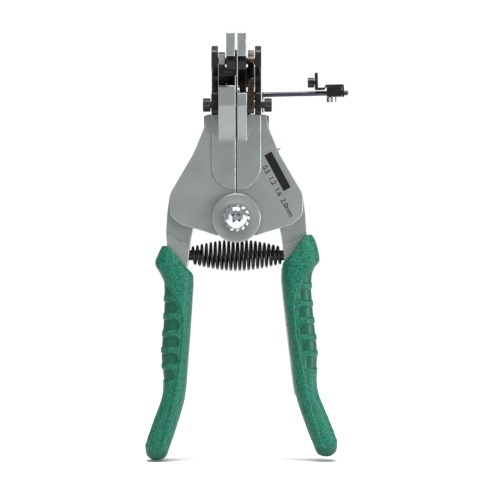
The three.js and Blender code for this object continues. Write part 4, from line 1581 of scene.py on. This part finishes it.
@dataclass
class Knurl:
    """Straight knurl round the head of a cap screw whose axis lies along X."""

    name: str
    body: str
    low: float
    high: float
    y: float = -18.6
    z: float = 47.4
    radius: float = 2.75
    ridges: int = 30
    ridge_side: float = 0.26
    ridge_root: float = 0.06
    plain_ends: float = 0.5

    def build(self) -> None:
        """Sets the ridges round the head."""
        rule = RuleTree(self.name, {
            "Ridges": self.ridges, "Radius": (self.radius - self.ridge_root) * MM,
            "Length": (self.high - self.low - self.plain_ends) * MM,
            "Ridge Side": self.ridge_side * MM,
        })
        sizes, add = rule.given, rule.add
        ring = add("GeometryNodeMeshCircle", Vertices=sizes["Ridges"], Radius=sizes["Radius"])
        wide = sizes["Ridge Side"]
        span = add("ShaderNodeCombineXYZ", X=wide, Y=wide, Z=sizes["Length"])
        ridge = add("GeometryNodeMeshCube", Size=span.outputs[0])
        step = add("ShaderNodeMath", {"operation": "DIVIDE"}, i0=math.tau, i1=sizes["Ridges"])
        number = add("GeometryNodeInputIndex")
        angle = add(
            "ShaderNodeMath", SCALE_AND_ADD, i0=number.outputs[0], i1=step.outputs[0],
            i2=math.pi / 4,
        )
        turn = add("ShaderNodeCombineXYZ", Z=angle.outputs[0])
        knurl = add(
            "GeometryNodeInstanceOnPoints", Points=ring.outputs["Mesh"],
            Instance=ridge.outputs["Mesh"], Rotation=turn.outputs[0],
        )
        placed = add(
            "GeometryNodeTransform", Geometry=knurl.outputs[0],
            Translation=((self.low + self.high) / 2 * MM, self.y * MM, self.z * MM),
            Rotation=(0, math.pi / 2, 0),
        )
        settle(rule.run(placed.outputs[0], BLACK_OXIDE), self.body)


# ---------------------------------------------------------------- studio


@dataclass
class Studio:
    """White paper and backdrop, soft lights and a level camera in front; sizes in metres.

    The distance is the camera's to a plane a little behind the tool's front.
    """

    view_width: float = 0.210
    distance: float = 0.90
    plane_depth: float = 0.008
    centre_x: float = 0.00575
    centre_z: float = -0.01345
    floor_radius: float = 0.6
    floor_gap: float = 0.0005
    ambient: float = 0.42
    seen_white: float = 1.05

    def camera(self) -> None:
        """Places the camera, level and square to the front."""
        data = bpy.data.cameras.new("camera")
        data.lens_unit = "FOV"
        data.angle = 2 * math.atan(self.view_width / 2 / self.distance)
        data.clip_end = 20
        made = new_piece("camera", data)
        place_y = cad_low.y + self.plane_depth - self.distance
        made.location = (self.centre_x, place_y, self.centre_z)
        made.rotation_euler = (math.pi / 2, 0, 0)
        bpy.context.scene.camera = made

    def floor(self) -> None:
        """Lays a round white sheet under the grips."""
        mesh = bpy.data.meshes.new("floor")
        with edited(mesh) as disc:
            bmesh.ops.create_circle(disc, cap_ends=True, segments=96, radius=self.floor_radius)
            bmesh.ops.translate(disc, verts=disc.verts, vec=(0, 0, cad_low.z - self.floor_gap))
        dress(new_piece("floor", mesh), FLOOR_PAPER)

    def light(
        self, name: str, place: tuple[float, float, float], size: float, watts: float
    ) -> None:
        """Adds a square soft light that looks at the tool's middle.

        Args:
            name: the light's name.
            place: where it stands.
            size: its side.
            watts: its power.
        """
        data = bpy.data.lights.new(name, "AREA")
        data.size = size
        data.energy = watts
        made = new_piece(name, data)
        made.location = place
        made.rotation_euler = (-Vector(place)).to_track_quat("-Z", "Y").to_euler()

    def backdrop(self) -> None:
        """Surrounds the tool with white that looks brighter than it lights."""
        world = bpy.data.worlds.new("white_backdrop")
        world.use_nodes = True
        tree = world.node_tree
        seen = node(tree, "ShaderNodeLightPath").outputs["Is Camera Ray"]
        strength = node(
            tree, "ShaderNodeMapRange", Value=seen, To_Min=self.ambient, To_Max=self.seen_white
        ).outputs[0]
        shader = tree.nodes["Background"]
        shader.inputs["Color"].default_value = linear("#ffffff")
        tree.links.new(strength, shader.inputs["Strength"])
        bpy.context.scene.world = world
        bpy.context.scene.view_settings.view_transform = "Standard"

    def build(self) -> None:
        """Sets up camera, floor, backdrop and lights."""
        self.camera()
        self.floor()
        self.backdrop()
        self.light("key_right", (0.66, -0.34, -0.02), size=0.30, watts=6.0)
        self.light("front_left", (-0.60, -0.80, 0.10), size=0.50, watts=0.8)
        self.light("floor_wash", (0.0, -0.30, 1.20), size=0.80, watts=28.0)


# ---------------------------------------------------------------- all plain pieces

# Radii in millimetres by a word in the node's name.
EDGE_RADIUS = {
    "frame": 0.35, "upper_jaw": 0.35, "handle": 0.3, "back_plate": 0.3, "cheek": 0.3,
    "nut": 0.3, "cheek_screw": 0.15, "back_screw": 0.15, "jaw_screw": 0.12, "blade": 0.05,
    "gripper": 0.08, "stop": 0.12, "pin": 0.1, "rod": 0.08, "clip": 0.06, "rivet": 0.06,
    "spring": 0.06, "peg": 0.2, "sleeve": 0.1,
}
# Nodes that a class of their own shows.
SPECIAL = {
    "pivot_bolt", "toothed_washer", "pivot_cap", "handle_spring", "left_grip", "right_grip",
    "left_upper_jaw", "right_upper_jaw", "left_jaw_spring", "right_jaw_spring", "stop_rod",
}


def edge_radius(cad_node: str) -> float:
    """Looks up how round a kind of piece has its edges.

    Args:
        cad_node: the piece's node.

    Returns:
        The smallest radius in millimetres of the kinds that its name holds.
    """
    return min((size for word, size in EDGE_RADIUS.items() if word in cad_node), default=0.1)


def main() -> None:
    """Builds the studio and every piece."""
    Studio().build()
    for cad_node in sorted(set(frame["nodes"]) - SPECIAL):
        MachinedPiece(cad_node, edge_radius(cad_node)).finish()
    for side in Side:
        TangStep(f"{side.word}_handle", edge_radius=0.3).finish()
        # each upper jaw is painted black under its beak as the mouth's shade
        BlackenedJaw(f"{side.word}_upper_jaw", edge_radius=0.35).finish()
        GripStrip(side).build()
        LeafSpring(f"{side.word}_jaw_spring", edge_radius=0.06).finish()
    rod = MachinedPiece("stop_rod", edge_radius=0.08).finish()
    dress(rod, DRAWN_STEEL)
    # black plates of painted shade in the seams, the mouth and the jaw slots
    for shadow_fill in SHADOW_FILLS:
        shadow_fill.build()
    MainPivot().build()
    BarrelSpring().build()
    for side in Side:
        Grip(side, **GRIP_STANCE[side]).build()
    PrintedMarks().build()
    CastingDetails().build()
    Knurl("left_screw_knurl", "left_frame_half", low=-14.0, high=-10.8).build()
    Knurl("right_screw_knurl", "right_frame_half", low=11.7, high=14.9).build()


if __name__ == "__main__":
    main()
